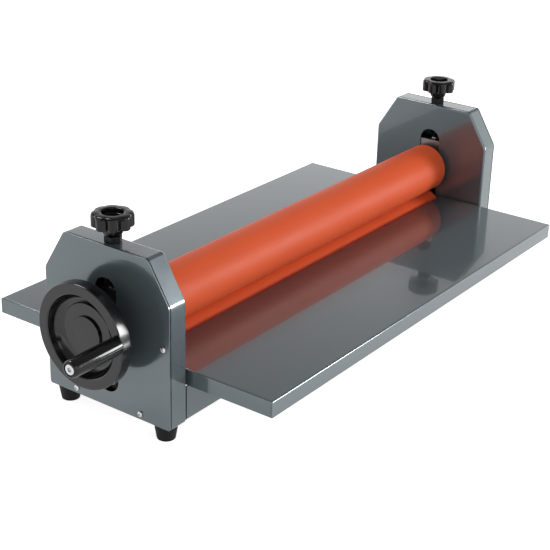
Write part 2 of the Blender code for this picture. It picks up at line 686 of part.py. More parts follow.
def bridge_block(name, side, machine):
    """The block under the housing's top that steadies the pressure screw."""
    low, high = span(side, FLANGE_DEPTH, BRIDGE_OUTER_DEPTH)
    x = outwards(side, SCREW_DEPTH)
    outline = rectangle(low, high, -BRIDGE_HALF_WIDTH, BRIDGE_HALF_WIDTH)
    hole = circle(SCREW_RADIUS + GAP, 24, (x, 0))
    bridge = prism("Z", outline, BRIDGE_BOTTOM, HOUSING_TOP - SHEET - GAP, [hole])
    add(f"{name}_bridge_block", bridge, machine, "black_oxide_steel")


def lock_nut(name, side, machine):
    """The fixed nut on the housing's top, which carries the pressure screw's thread."""
    place = (outwards(side, SCREW_DEPTH), 0)
    bottom = HOUSING_TOP + GAP
    hole = circle(SCREW_RADIUS + THREAD_GAP, 24, place)
    nut = prism("Z", circle(LOCK_NUT_RADIUS, 6, place), bottom, bottom + LOCK_NUT_HEIGHT, [hole])
    add(f"{name}_lock_nut", nut, machine, "black_oxide_steel")


def pressure_screw(name, stem):
    """The spindle from the knob down to the bearing block, with a thrust collar near its foot."""
    foot = UPPER_BLOCK_TOP - FLANGE_DROP + GAP
    collar_low = foot + COLLAR_RISE
    collar_high = collar_low + COLLAR_HEIGHT
    profile = (
        (foot, 0.8 * SCREW_RADIUS),
        (collar_low, SCREW_RADIUS),
        (collar_low, COLLAR_RADIUS),
        (collar_high, COLLAR_RADIUS),
        (collar_high, SCREW_RADIUS),
        (KNOB_BOTTOM + SCREW_IN_KNOB, SCREW_RADIUS),
    )
    add(f"{name}_pressure_screw", turned("Z", profile, 24), stem, "black_oxide_steel")


def star_knob(name, stem):
    """A lobed knob with a hub below and a round recess in its top, bored for the screw from below."""
    top = KNOB_BOTTOM + KNOB_HEIGHT
    lobe_bottom = top - KNOB_LOBE_HEIGHT
    edge = KNOB_EDGE
    count = KNOB_LOBES * POINTS_PER_LOBE
    bore = SCREW_RADIUS + THREAD_GAP
    bore_end = KNOB_BOTTOM + KNOB_BORE
    rings = (
        (bore_end, circle(bore, count)),
        (KNOB_BOTTOM, circle(bore, count)),
        (KNOB_BOTTOM, circle(0.9 * KNOB_HUB_RADIUS, count)),
        (lobe_bottom, circle(KNOB_HUB_RADIUS, count)),
        (lobe_bottom, star(-edge)),
        (lobe_bottom + edge, star()),
        (top - edge, star()),
        (top, star(-edge)),
        (top, circle(KNOB_RECESS_RADIUS, count)),
        (top - KNOB_RECESS, circle(KNOB_RECESS_RADIUS - edge / 2, count)),
    )
    knob = loft([[(a, b, z) for a, b in outline] for z, outline in rings])
    add(f"{name}_star_knob", knob, stem, "black_plastic")


# Assembly


def build():
    clear_scene()
    machine = empty("machine", (MACHINE_X, 0, 0))
    for name, side in SIDES.items():
        casing(name, side, machine)
        side_plate(name, side, machine)
        cover(name, side, machine)
        cover_screws(name, side, machine)
        feet(name, side, machine)
        bridge_block(name, side, machine)
        lock_nut(name, side, machine)
        lower_block = f"{name}_lower_bearing_block"
        bearing_block(lower_block, side, GUIDE_BOTTOM + GAP, LOWER_BLOCK_TOP, LOWER_AXIS_Z, machine)
        bush(f"{name}_lower_bush", side, LOWER_AXIS_Z, machine)
        lift_spring(f"{name}_lift_spring", side, machine)
    for name, way in FRONT_BACK.items():
        beam(name, way, machine)
        table(name, way, machine)
        table_nuts(name, way, machine)

    carriage = empty("lift_carriage", (0, 0, 0), machine)
    upper_axis = empty("upper_roller_axis", (0, 0, UPPER_AXIS_Z), carriage)
    lower_axis = empty("lower_roller_axis", (0, 0, LOWER_AXIS_Z), machine)
    for name, side in SIDES.items():
        upper_block = f"{name}_upper_bearing_block"
        heights = (UPPER_BLOCK_BOTTOM, UPPER_BLOCK_TOP, UPPER_AXIS_Z)
        bearing_block(upper_block, side, *heights, carriage, FLANGE_DROP)
        bush(f"{name}_upper_bush", side, UPPER_AXIS_Z, carriage)
        stem = empty(f"{name}_screw_axis", (outwards(side, SCREW_DEPTH), 0, 0), carriage)
        pressure_screw(name, stem)
        star_knob(name, stem)
    roller("upper", upper_axis, True)
    roller("lower", lower_axis, False)
    handwheel(upper_axis)
    pivot_y, pivot_z = handle_place()
    handle_grip(empty("handle_axis", (0, pivot_y, pivot_z), upper_axis))


build()
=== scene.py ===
"""Finished looks of a cold roll laminator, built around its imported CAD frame.

Metres, +Z up. X runs along the rollers with the handwheel at -X, and -Y is the feeding side.
Each piece is modelled where its CAD node stands. A piece made for the left end or for the front is
copied to the other side by half a turn about the machine's upright middle line.
"""

from __future__ import annotations

import logging
import math
from collections.abc import Callable, Sequence
from dataclasses import dataclass
from enum import Enum

import bmesh
import bpy
from mathutils import Matrix, Vector

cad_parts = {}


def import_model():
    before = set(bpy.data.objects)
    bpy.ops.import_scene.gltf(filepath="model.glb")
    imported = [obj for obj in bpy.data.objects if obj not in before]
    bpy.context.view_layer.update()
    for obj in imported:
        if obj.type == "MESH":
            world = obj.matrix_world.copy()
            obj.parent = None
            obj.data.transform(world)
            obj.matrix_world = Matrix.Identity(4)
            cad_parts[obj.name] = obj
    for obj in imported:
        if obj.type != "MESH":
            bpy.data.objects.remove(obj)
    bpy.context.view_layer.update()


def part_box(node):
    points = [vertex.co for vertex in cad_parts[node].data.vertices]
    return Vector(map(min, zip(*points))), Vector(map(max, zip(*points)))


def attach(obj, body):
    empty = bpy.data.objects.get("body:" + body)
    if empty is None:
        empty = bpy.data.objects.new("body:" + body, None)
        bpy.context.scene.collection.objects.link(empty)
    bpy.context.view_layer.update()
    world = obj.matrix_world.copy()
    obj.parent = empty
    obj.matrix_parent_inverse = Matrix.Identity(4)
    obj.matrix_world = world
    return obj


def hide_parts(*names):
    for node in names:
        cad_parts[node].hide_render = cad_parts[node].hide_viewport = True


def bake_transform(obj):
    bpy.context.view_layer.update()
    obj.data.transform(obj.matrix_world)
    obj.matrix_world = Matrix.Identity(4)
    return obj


LOG = logging.getLogger("laminator")
NEAR = 1e-4  # how close counts as being on a plane or an edge
Colour = tuple[float, float, float]
Outline = Sequence[tuple[float, float]]


# Named options


class Axis(Enum):
    """A main axis of the machine."""

    X = (1.0, 0.0, 0.0)
    Y = (0.0, 1.0, 0.0)
    Z = (0.0, 0.0, 1.0)

    @property
    def vector(self) -> Vector:
        """The unit vector along this axis."""
        return Vector(self.value)

    @property
    def across(self) -> Vector:
        """A unit vector square to this axis, from which a turned outline starts."""
        return Vector((1, 0, 0)) if self is Axis.Z else Vector((0, 0, 1))


class End(Enum):
    """One end of the rollers, with the way it faces along X."""

    LEFT = -1
    RIGHT = 1

    @property
    def label(self) -> str:
        """The word that starts the names of this end's pieces."""
        return self.name.lower()


class Flank(Enum):
    """The feeding or the delivery side, with the way it faces along Y."""

    FRONT = -1
    REAR = 1

    @property
    def label(self) -> str:
        """The word that starts the names of this side's pieces."""
        return self.name.lower()


class Body(Enum):
    """The moving bodies of the frame."""

    FRAME = "frame"
    CARRIAGE = "lift_carriage"
    UPPER_ROLLER = "upper_roller"
    LOWER_ROLLER = "lower_roller"
    HANDLE = "handle"
    LEFT_KNOB = "left_knob"
    RIGHT_KNOB = "right_knob"


class Slot(Enum):
    """The record's material slots."""

    ENAMEL = "slate_enamel"
    SILICONE = "orange_silicone"
    PLASTIC = "black_plastic"
    RUBBER = "black_rubber"
    OXIDE = "black_oxide_steel"
    BRIGHT = "bright_steel"
    BRONZE = "bronze"


# Shared shader effects


class Effect:
    """A shader node group that puts out masks or values which change over a surface."""

    def __init__(self, name: str) -> None:
        """Starts an empty group.

        Args:
            name: The group's name.
        """
        self.tree = bpy.data.node_groups.new(name, "ShaderNodeTree")
        self.entry = self.tree.nodes.new("NodeGroupInput")
        self.exit = self.tree.nodes.new("NodeGroupOutput")
        self.takes("Place", "NodeSocketVector")

    def takes(self, name: str, kind: str = "NodeSocketFloat", default: float | None = None) -> None:
        """Adds a named input.

        Args:
            name: The input's name.
            kind: Its socket type.
            default: Its value where a material gives none.
        """
        socket = self.tree.interface.new_socket(name, in_out="INPUT", socket_type=kind)
        if default is not None:
            socket.default_value = default

    def gives(self, name: str, source: bpy.types.NodeSocket) -> None:
        """Adds a named output.

        Args:
            name: The output's name.
            source: The socket inside the group that it takes its value from.
        """
        self.tree.interface.new_socket(name, in_out="OUTPUT", socket_type="NodeSocketFloat")
        self.tree.links.new(source, self.exit.inputs[name])

    def node(self, kind: str, **settings: object) -> bpy.types.Node:
        """Adds a node.

        Args:
            kind: The node's type, without its ShaderNode prefix.
            **settings: Properties to set on it.

        Returns:
            The new node.
        """
        made = self.tree.nodes.new(f"ShaderNode{kind}")
        for name, value in settings.items():
            setattr(made, name, value)
        return made

    def feed(self, node: bpy.types.Node, **sources: object) -> bpy.types.Node:
        """Links sockets or sets plain values on a node's inputs.

        Args:
            node: The node to feed.
            **sources: Input names, with _ for a space, and a socket or a value for each.

        Returns:
            The same node.
        """
        for name, source in sources.items():
            socket = node.inputs[int(name[1:]) if name[1:].isdigit() else name.replace("_", " ")]
            if isinstance(source, bpy.types.NodeSocket):
                self.tree.links.new(source, socket)
            else:
                socket.default_value = source
        return node

    def maths(self, operation: str, first: object, second: object = 0.0) -> bpy.types.NodeSocket:
        """Adds one sum.

        Args:
            operation: The Math node's operation.
            first: Its first socket or value.
            second: Its second socket or value.

        Returns:
            The sum's output socket.
        """
        node = self.node("Math", operation=operation, use_clamp=operation == "MULTIPLY")
        return self.feed(node, _0=first, _1=second).outputs[0]


def edge_wear() -> Effect:
    """Builds the mask of rubbed edges, which is 1 on a worn edge and 0 on flat ground.

    Returns:
        The effect.
    """
    made = Effect("edge wear")
    made.takes("Reach", default=0.0006)
    made.takes("Amount", default=1.0)
    made.takes("Patch size", default=90.0)
    entry = made.entry.outputs
    softened = made.feed(made.node("Bevel", samples=6), Radius=entry["Reach"])
    true = made.node("NewGeometry")
    dot = made.node("VectorMath", operation="DOT_PRODUCT")
    made.feed(dot, _0=softened.outputs["Normal"], _1=true.outputs["Normal"])
    edge = made.maths("SUBTRACT", 1.0, dot.outputs["Value"])
    noise = made.feed(made.node("TexNoise"), Vector=entry["Place"], Scale=entry["Patch size"], Detail=4.0)
    patch = made.feed(made.node("MapRange"), Value=noise.outputs["Fac"], From_Min=0.42, From_Max=0.62)
    worn = made.maths("MULTIPLY", made.maths("MULTIPLY", edge, 9.0), patch.outputs["Result"])
    made.gives("Mask", made.maths("MULTIPLY", worn, entry["Amount"]))
    return made


def peel() -> Effect:
    """Builds the slow waves of sprayed paint or moulded plastic, with a fine speckle over them.

    Returns:
        The effect, with its Height and its Speckle.
    """
    made = Effect("sprayed skin")
    made.takes("Wave size", default=420.0)
    made.takes("Speckle size", default=3200.0)
    entry = made.entry.outputs
    wave = made.feed(made.node("TexNoise"), Vector=entry["Place"], Scale=entry["Wave size"], Detail=1.5)
    speck = made.feed(made.node("TexNoise"), Vector=entry["Place"], Scale=entry["Speckle size"], Detail=0.0)
    small = made.maths("MULTIPLY", speck.outputs["Fac"], 0.18)
    made.gives("Height", made.maths("ADD", wave.outputs["Fac"], small))
    made.gives("Speckle", speck.outputs["Fac"])
    return made


def tool_lines() -> Effect:
    """Builds fine parallel lines such as grinding, brushing or turning leaves.

    Returns:
        The effect, whose Lines run square to the largest part of Stretch.
    """
    made = Effect("tool lines")
    made.takes("Stretch", "NodeSocketVector")
    made.takes("Fineness", default=1.0)
    entry = made.entry.outputs
    scaled = made.node("VectorMath", operation="MULTIPLY")
    made.feed(scaled, _0=entry["Place"], _1=entry["Stretch"])
    coarse = made.feed(made.node("TexNoise"), Vector=scaled.outputs[0], Scale=entry["Fineness"], Detail=3.0)
    finer = made.maths("MULTIPLY_ADD", entry["Fineness"], 4.3)
    fine = made.feed(made.node("TexNoise"), Vector=scaled.outputs[0], Scale=finer)
    total = made.maths("ADD", coarse.outputs["Fac"], fine.outputs["Fac"])
    made.gives("Lines", made.maths("MULTIPLY", total, 0.5))
    return made


def handling() -> Effect:
    """Builds the soft smears that hands and cloths leave, and the dust that settles on top faces.

    Returns:
        The effect, with its Smear and its Dust.
    """
    made = Effect("handling")
    made.takes("Smear size", default=14.0)
    made.takes("Dust size", default=520.0)
    entry = made.entry.outputs
    warp = made.node("TexNoise")
    made.feed(warp, Vector=entry["Place"], Scale=entry["Smear size"], Detail=5.0, Distortion=1.2)
    smear = made.feed(made.node("MapRange"), Value=warp.outputs["Fac"], From_Min=0.35, From_Max=0.70)
    made.gives("Smear", smear.outputs["Result"])
    split = made.feed(made.node("SeparateXYZ"), Vector=made.node("NewGeometry").outputs["Normal"])
    grit = made.feed(made.node("TexNoise"), Vector=entry["Place"], Scale=entry["Dust size"], Detail=2.0)
    lies = made.feed(made.node("MapRange"), Value=split.outputs["Z"], From_Min=0.55, From_Max=0.98)
    shows = made.feed(made.node("MapRange"), Value=grit.outputs["Fac"], From_Min=0.50, From_Max=0.74)
    made.gives("Dust", made.maths("MULTIPLY", lies.outputs["Result"], shows.outputs["Result"]))
    return made


@dataclass(frozen=True)
class Effects:
    """The shared effects, each built once."""

    wear: Effect
    skin: Effect
    lines: Effect
    handling: Effect

    @classmethod
    def build(cls) -> Effects:
        """Builds every effect."""
        return cls(edge_wear(), peel(), tool_lines(), handling())


class Mix:
    """A material being mixed, with its Principled shader at the end."""

    def __init__(self, name: str) -> None:
        """Starts the material.

        Args:
            name: The material's name.
        """
        self.material = bpy.data.materials.new(name)
        self.material.use_nodes = True
        self.tree = self.material.node_tree
        self.shader = self.tree.nodes["Principled BSDF"]
        self.place = self.tree.nodes.new("ShaderNodeTexCoord").outputs["Object"]

    def constant(self, **values: object) -> Mix:
        """Sets plain values on the shader's own sockets.

        Args:
            **values: Socket names, with _ for a space, and their values.

        Returns:
            This mix.
        """
        for name, value in values.items():
            self.shader.inputs[name.replace("_", " ")].default_value = value
        return self

    def effect(self, effect: Effect, **values: object) -> bpy.types.Node:
        """Places a shared effect.

        Args:
            effect: The effect.
            **values: Its inputs, with _ for a space.

        Returns:
            The group's node.
        """
        node = self.tree.nodes.new("ShaderNodeGroup")
        node.node_tree = effect.tree
        self.tree.links.new(self.place, node.inputs["Place"])
        for name, value in values.items():
            node.inputs[name.replace("_", " ")].default_value = value
        return node

    def noise(self, scale: float, detail: float = 2.0) -> bpy.types.NodeSocket:
        """Adds a noise on the piece's own coordinates.

        Args:
            scale: Its scale, per metre.
            detail: Its detail.

        Returns:
            Its value socket.
        """
        node = self.tree.nodes.new("ShaderNodeTexNoise")
        node.inputs["Scale"].default_value = scale
        node.inputs["Detail"].default_value = detail
        self.tree.links.new(self.place, node.inputs["Vector"])
        return node.outputs["Fac"]

    def blend(
        self, mask: bpy.types.NodeSocket, low: object, high: object, share: float = 1.0
    ) -> bpy.types.NodeSocket:
        """Mixes two colours by a mask.

        Args:
            mask: The mask.
            low: The colour or socket where the mask is 0.
            high: The colour or socket where the mask is 1.
            share: How much of the second colour a full mask lets through.

        Returns:
            The mixed colour.
        """
        if share < 1.0:
            mask = self.span(mask, 0.0, share)
        node = self.tree.nodes.new("ShaderNodeMix")
        node.data_type = "RGBA"
        self.tree.links.new(mask, node.inputs["Factor"])
        for socket, source in zip((node.inputs[6], node.inputs[7]), (low, high)):
            if isinstance(source, bpy.types.NodeSocket):
                self.tree.links.new(source, socket)
            else:
                socket.default_value = (*source, 1.0)
        return node.outputs[2]

    def span(self, value: bpy.types.NodeSocket, low: float, high: float) -> bpy.types.NodeSocket:
        """Maps a value from 0..1 to a range.

        Args:
            value: The value.
            low: What 0 becomes.
            high: What 1 becomes.

        Returns:
            The mapped value.
        """
        node = self.tree.nodes.new("ShaderNodeMapRange")
        node.inputs["To Min"].default_value = low
        node.inputs["To Max"].default_value = high
        self.tree.links.new(value, node.inputs["Value"])
        return node.outputs["Result"]

    def add(self, first: bpy.types.NodeSocket, second: bpy.types.NodeSocket) -> bpy.types.NodeSocket:
        """Adds two values.

        Args:
            first: The one value.
            second: The other value.

        Returns:
            Their sum.
        """
        node = self.tree.nodes.new("ShaderNodeMath")
        self.tree.links.new(first, node.inputs[0])
        self.tree.links.new(second, node.inputs[1])
        return node.outputs[0]

    def bump(self, height: bpy.types.NodeSocket, distance: float) -> None:
        """Feeds the shader's normal from a height.

        Args:
            height: The height, about 0..1.
            distance: How high 1 stands, in metres.
        """
        node = self.tree.nodes.new("ShaderNodeBump")
        node.inputs["Distance"].default_value = distance
        self.tree.links.new(height, node.inputs["Height"])
        self.tree.links.new(node.outputs["Normal"], self.shader.inputs["Normal"])

    def finish(self, **sources: bpy.types.NodeSocket) -> bpy.types.Material:
        """Links the changing values to the shader.

        Args:
            **sources: Shader inputs, with _ for a space, and what feeds each.

        Returns:
            The finished material.
        """
        for name, source in sources.items():
            self.tree.links.new(source, self.shader.inputs[name.replace("_", " ")])
        return self.material


# Finishes


@dataclass(frozen=True)
class SlateEnamel:
    """Glossy baked enamel with fine metal in it, on folded sheet steel."""

    body: Colour = (0.118, 0.147, 0.161)
    shade: Colour = (0.104, 0.131, 0.145)
    bare: Colour = (0.30, 0.35, 0.37)
    dust: Colour = (0.30, 0.31, 0.31)
    metal: float = 0.52

    def build(self, name: str, effects: Effects) -> bpy.types.Material:
        """Mixes the enamel.

        Args:
            name: The material's name.
            effects: The shared effects.

        Returns:
            The material.
        """
        mix = Mix(name)
        mix.constant(Metallic=self.metal, Coat_Weight=1.0, Coat_Roughness=0.03, Coat_IOR=1.5)
        skin = mix.effect(effects.skin, Wave_size=520.0, Speckle_size=5200.0)
        wear = mix.effect(effects.wear, Reach=0.0005, Amount=0.55)
        touched = mix.effect(effects.handling)
        colour = mix.blend(mix.noise(7.0, 3.0), self.shade, self.body)
        colour = mix.blend(skin.outputs["Speckle"], colour, self.bare, 0.10)
        colour = mix.blend(wear.outputs["Mask"], colour, self.bare)
        colour = mix.blend(touched.outputs["Dust"], colour, self.dust, 0.05)
        smears = mix.span(touched.outputs["Smear"], 0.165, 0.215)
        rough = mix.add(smears, mix.span(wear.outputs["Mask"], 0.0, 0.16))
        mix.bump(skin.outputs["Height"], 0.000012)
        return mix.finish(Base_Color=colour, Roughness=rough)


@dataclass(frozen=True)
class OrangeSilicone:
    """Ground silicone rubber, satin, with fine rings from the grinding wheel."""

    body: Colour = (0.66, 0.088, 0.022)
    deep: Colour = (0.59, 0.072, 0.017)
    chalk: Colour = (0.74, 0.16, 0.06)

    def build(self, name: str, effects: Effects) -> bpy.types.Material:
        """Mixes the rubber.

        Args:
            name: The material's name.
            effects: The shared effects.

        Returns:
            The material.
        """
        mix = Mix(name)
        mix.constant(IOR=1.34, Sheen_Weight=0.02, Sheen_Roughness=0.40)
        rings = mix.effect(effects.lines, Stretch=(900.0, 6.0, 6.0), Fineness=1.0)
        wear = mix.effect(effects.wear, Reach=0.0008, Amount=0.6, Patch_size=160.0)
        touched = mix.effect(effects.handling, Smear_size=9.0)
        colour = mix.blend(mix.noise(11.0, 4.0), self.deep, self.body)
        colour = mix.blend(rings.outputs["Lines"], colour, self.chalk, 0.10)
        colour = mix.blend(wear.outputs["Mask"], colour, self.chalk, 0.6)
        colour = mix.blend(touched.outputs["Dust"], colour, self.chalk, 0.12)
        smears = mix.span(touched.outputs["Smear"], 0.50, 0.57)
        rough = mix.add(smears, mix.span(rings.outputs["Lines"], -0.04, 0.06))
        mix.bump(rings.outputs["Lines"], 0.000035)
        return mix.finish(Base_Color=colour, Roughness=rough)


@dataclass(frozen=True)
class MouldedBlack:
    """Black moulded plastic or rubber, from polished to matt."""

    body: Colour = (0.0025, 0.0025, 0.0028)
    rubbed: Colour = (0.040, 0.040, 0.041)
    roughness: tuple[float, float] = (0.16, 0.24)
    grain: float = 900.0
    grain_height: float = 0.000010
    dust: float = 0.01
    lustre: float = 1.60

    def build(self, name: str, effects: Effects) -> bpy.types.Material:
        """Mixes the moulding.

        Args:
            name: The material's name.
            effects: The shared effects.

        Returns:
            The material.
        """
        mix = Mix(name)
        mix.constant(IOR=self.lustre)
        skin = mix.effect(effects.skin, Wave_size=self.grain, Speckle_size=4.0 * self.grain)
        wear = mix.effect(effects.wear, Reach=0.0006, Amount=0.5)
        touched = mix.effect(effects.handling, Smear_size=38.0)
        colour = mix.blend(mix.noise(60.0, 3.0), self.body, tuple(1.5 * part for part in self.body))
        colour = mix.blend(wear.outputs["Mask"], colour, self.rubbed)
        colour = mix.blend(touched.outputs["Dust"], colour, (0.35, 0.35, 0.34), self.dust)
        low, high = self.roughness
        smears = mix.span(touched.outputs["Smear"], low, high)
        rough = mix.add(smears, mix.span(wear.outputs["Mask"], 0.0, 0.18))
        mix.bump(skin.outputs["Height"], self.grain_height)
        return mix.finish(Base_Color=colour, Roughness=rough)


@dataclass(frozen=True)
class CutMetal:
    """Turned, ground or plated metal, with the lines of the tool along one axis."""

    body: Colour = (0.60, 0.60, 0.61)
    shade: Colour = (0.46, 0.46, 0.47)
    worn: Colour = (0.78, 0.78, 0.78)
    stretch: Colour = (1400.0, 30.0, 30.0)
    roughness: tuple[float, float] = (0.20, 0.34)
    line_height: float = 0.000012

    def build(self, name: str, effects: Effects) -> bpy.types.Material:
        """Mixes the metal.

        Args:
            name: The material's name.
            effects: The shared effects.

        Returns:
            The material.
        """
        mix = Mix(name)
        mix.constant(Metallic=1.0)
        cut = mix.effect(effects.lines, Stretch=self.stretch, Fineness=1.0)
        wear = mix.effect(effects.wear, Reach=0.0004, Amount=0.8, Patch_size=220.0)
        touched = mix.effect(effects.handling, Smear_size=45.0)
        colour = mix.blend(touched.outputs["Smear"], self.body, self.shade)
        colour = mix.blend(cut.outputs["Lines"], colour, self.shade, 0.35)
        colour = mix.blend(wear.outputs["Mask"], colour, self.worn)
        low, high = self.roughness
        lines = mix.span(cut.outputs["Lines"], low, high)
        rough = mix.add(lines, mix.span(touched.outputs["Smear"], -0.02, 0.05))
        mix.bump(cut.outputs["Lines"], self.line_height)
        return mix.finish(Base_Color=colour, Roughness=rough)


@dataclass(frozen=True)
class Palette:
    """Every material of the machine."""

    enamel: bpy.types.Material
    silicone: bpy.types.Material
    gloss: bpy.types.Material
    satin: bpy.types.Material
    rubber: bpy.types.Material
    oxide: bpy.types.Material
    turned: bpy.types.Material
    ground: bpy.types.Material
    zinc: bpy.types.Material
    bronze: bpy.types.Material

    @classmethod
    def build(cls) -> Palette:
        """Mixes every material."""
        effects = Effects.build()
        matt = MouldedBlack(
            body=(0.004, 0.004, 0.004),
            roughness=(0.48, 0.60),
            grain=1500.0,
            grain_height=0.00003,
            dust=0.010,
            lustre=1.30,
        )
        satin = MouldedBlack(roughness=(0.15, 0.21), grain=2200.0)
        oxide = CutMetal(
            body=(0.035, 0.034, 0.035),
            shade=(0.018, 0.018, 0.019),
            worn=(0.16, 0.155, 0.15),
            stretch=(120.0, 120.0, 500.0),
            roughness=(0.26, 0.40),
        )
        # Painted shade: the bronze's body and shade colours are darkened almost to black, standing in for the
        # shade deep in the housings' slots; only its worn edges keep the bronze's own colour.
        bronze = CutMetal(body=(0.030, 0.019, 0.011), shade=(0.016, 0.010, 0.006), worn=(0.55, 0.36, 0.17))
        ground = CutMetal(
            body=(0.40, 0.40, 0.41),
            shade=(0.28, 0.28, 0.29),
            stretch=(60.0, 60.0, 1700.0),
            roughness=(0.24, 0.38),
            line_height=0.00002,
        )
        zinc = CutMetal(
            body=(0.80, 0.81, 0.82),
            shade=(0.62, 0.63, 0.64),
            worn=(0.90, 0.90, 0.90),
            stretch=(260.0, 260.0, 260.0),
            roughness=(0.14, 0.26),
        )
        return cls(
            enamel=SlateEnamel().build("slate enamel", effects),
            silicone=OrangeSilicone().build("orange silicone", effects),
            gloss=MouldedBlack(roughness=(0.08, 0.14), lustre=1.44).build("polished black plastic", effects),
            satin=satin.build("satin black plastic", effects),
            rubber=matt.build("black rubber", effects),
            oxide=oxide.build("black oxide steel", effects),
            turned=CutMetal().build("turned steel", effects),
            ground=ground.build("ground steel", effects),
            zinc=zinc.build("zinc plated steel", effects),
            bronze=bronze.build("bearing bronze", effects),
        )


# Modelling


@dataclass(frozen=True)
class Extent:
    """The box that a CAD node fills at rest."""

    low: Vector
    high: Vector

    @classmethod
    def of(cls, node: str) -> Extent:
        """The extent of a CAD node."""
        return cls(*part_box(node))

    @property
    def middle(self) -> Vector:
        """The middle of the box."""
        return (self.low + self.high) / 2

    @property
    def size(self) -> Vector:
        """The box's length along each axis."""
        return self.high - self.low


class Piece:
    """A mesh on the bench, shaped with Blender's own operators."""

    def __init__(self, obj: bpy.types.Object, name: str) -> None:
        """Takes up an object.

        Args:
            obj: The mesh object.
            name: The piece's name.
        """
        self.obj = obj
        obj.name = name
        obj.data.name = name

    # Starting shapes

    @staticmethod
    def clear_bench() -> None:
        """Leaves edit mode and deselects every object."""
        if bpy.context.mode != "OBJECT":
            bpy.ops.object.mode_set(mode="OBJECT")
        bpy.ops.object.select_all(action="DESELECT")

    @classmethod
    def block(cls, name: str, low: Sequence[float], high: Sequence[float]) -> Piece:
        """Starts from a box.

        Args:
            name: The piece's name.
            low: Its lowest corner.
            high: Its highest corner.

        Returns:
            The piece.
        """
        cls.clear_bench()
        low, high = Vector(low), Vector(high)
        bpy.ops.mesh.primitive_cube_add(size=1, location=(low + high) / 2, scale=high - low)
        piece = cls(bpy.context.object, name)
        piece.settle()
        return piece

    @classmethod
    def rod(
        cls, name: str, axis: Axis, radius: float, start: Vector, length: float, sides: int = 32
    ) -> Piece:
        """Starts from a straight rod.

        Args:
            name: The piece's name.
            axis: The way it runs.
            radius: Its radius.
            start: The middle of its lower end.
            length: Its length along the axis.
            sides: How many sides it has.

        Returns:
            The piece.
        """
        cls.clear_bench()
        turns = {Axis.X: (0, math.pi / 2, 0), Axis.Y: (math.pi / 2, 0, 0), Axis.Z: (0, 0, 0)}
        bpy.ops.mesh.primitive_cylinder_add(
            vertices=sides,
            radius=radius,
            depth=length,
            location=start + axis.vector * length / 2,
            rotation=turns[axis],
        )
        piece = cls(bpy.context.object, name)
        piece.settle()
        return piece

    @classmethod
    def drawn(cls, name: str, places: Sequence[Vector], closed: bool = False) -> Piece:
        """Starts from a line drawn point by point, by extruding one vertex.

        Args:
            name: The piece's name.
            places: The line's points.
            closed: Whether its last point joins its first.

        Returns:
            The piece, left in edit mode with all of it selected.
        """
        cls.clear_bench()
        bpy.ops.mesh.primitive_plane_add(size=1, location=places[0])
        piece = cls(bpy.context.object, name)
        bpy.ops.object.mode_set(mode="EDIT")
        bpy.ops.mesh.select_mode(type="VERT")
        bpy.ops.mesh.select_all(action="SELECT")
        bpy.ops.mesh.merge(type="CENTER")
        for before, after in zip(places, places[1:]):
            bpy.ops.mesh.extrude_vertices_move(TRANSFORM_OT_translate={"value": after - before})
        if closed:
            mesh = bmesh.from_edit_mesh(piece.obj.data)
            mesh.verts.ensure_lookup_table()
            mesh.verts[0].select_set(True)
            mesh.select_flush(True)
            bmesh.update_edit_mesh(piece.obj.data)
            bpy.ops.mesh.edge_face_add()
        bpy.ops.mesh.select_all(action="SELECT")
        return piece

    @classmethod
    def turned(
        cls, name: str, axis: Axis, centre: Vector, outline: Outline, steps: int = 64, closed: bool = False
    ) -> Piece:
        """Draws an outline and spins it, as on a lathe.

        Args:
            name: The piece's name.
            axis: The axis of the lathe.
            centre: A point on it, from which the outline's distances are measured.
            outline: Pairs of distance along the axis and radius.
            steps: How many faces go round.
            closed: Whether the outline is a closed loop, for a piece with a bore.

        Returns:
            The piece.
        """
        places = [centre + axis.vector * along + axis.across * radius for along, radius in outline]
        piece = cls.drawn(name, places, closed)
        bpy.ops.mesh.spin(steps=steps, angle=2 * math.pi, center=centre, axis=axis.vector)
        bpy.ops.mesh.select_all(action="SELECT")
        bpy.ops.mesh.remove_doubles(threshold=1e-6)
        bpy.ops.mesh.normals_make_consistent(inside=False)
        bpy.ops.object.mode_set(mode="OBJECT")
        piece.settle()
        return piece

    @classmethod
    def coiled(
        cls, name: str, foot: Vector, outline: Outline, pitch: float, turns: int, steps: int, closed: bool
    ) -> Piece:
        """Winds an outline up the Z axis, for a thread or a spring.

        Args:
            name: The piece's name.
            foot: The point on the axis where the winding starts.
            outline: Pairs of height and radius, over one pitch for a thread.
            pitch: The rise in one turn.
            turns: How many turns.
            steps: How many faces go round.
            closed: Whether the outline is a closed loop, as a wire's is.

        Returns:
            The piece, with its ends filled.
        """
        piece = cls.drawn(name, [Vector((radius, 0, along)) for along, radius in outline], closed)
        bpy.ops.object.mode_set(mode="OBJECT")
        piece.settle()
        piece.modify(
            "SCREW", angle=2 * math.pi, screw_offset=pitch, iterations=turns, steps=steps, render_steps=steps
        )
        piece.open()
        bpy.ops.mesh.select_all(action="SELECT")
        bpy.ops.mesh.remove_doubles(threshold=1e-6)
        bpy.ops.mesh.fill_holes(sides=0)
        bpy.ops.mesh.select_all(action="SELECT")
        bpy.ops.mesh.normals_make_consistent(inside=False)
        bpy.ops.object.mode_set(mode="OBJECT")
        piece.obj.location = foot
        piece.settle()
        return piece

    # Shaping

    def open(self) -> None:
        """Puts this piece alone in edit mode."""
        self.clear_bench()
        self.obj.select_set(True)
        bpy.context.view_layer.objects.active = self.obj
        bpy.ops.object.mode_set(mode="EDIT")
        bpy.ops.mesh.reveal()

    def settle(self) -> None:
        """Writes the object's place, turn and scale into its mesh."""
        self.clear_bench()
        self.obj.select_set(True)
        bpy.context.view_layer.objects.active = self.obj
        bpy.ops.object.transform_apply(location=True, rotation=True, scale=True)

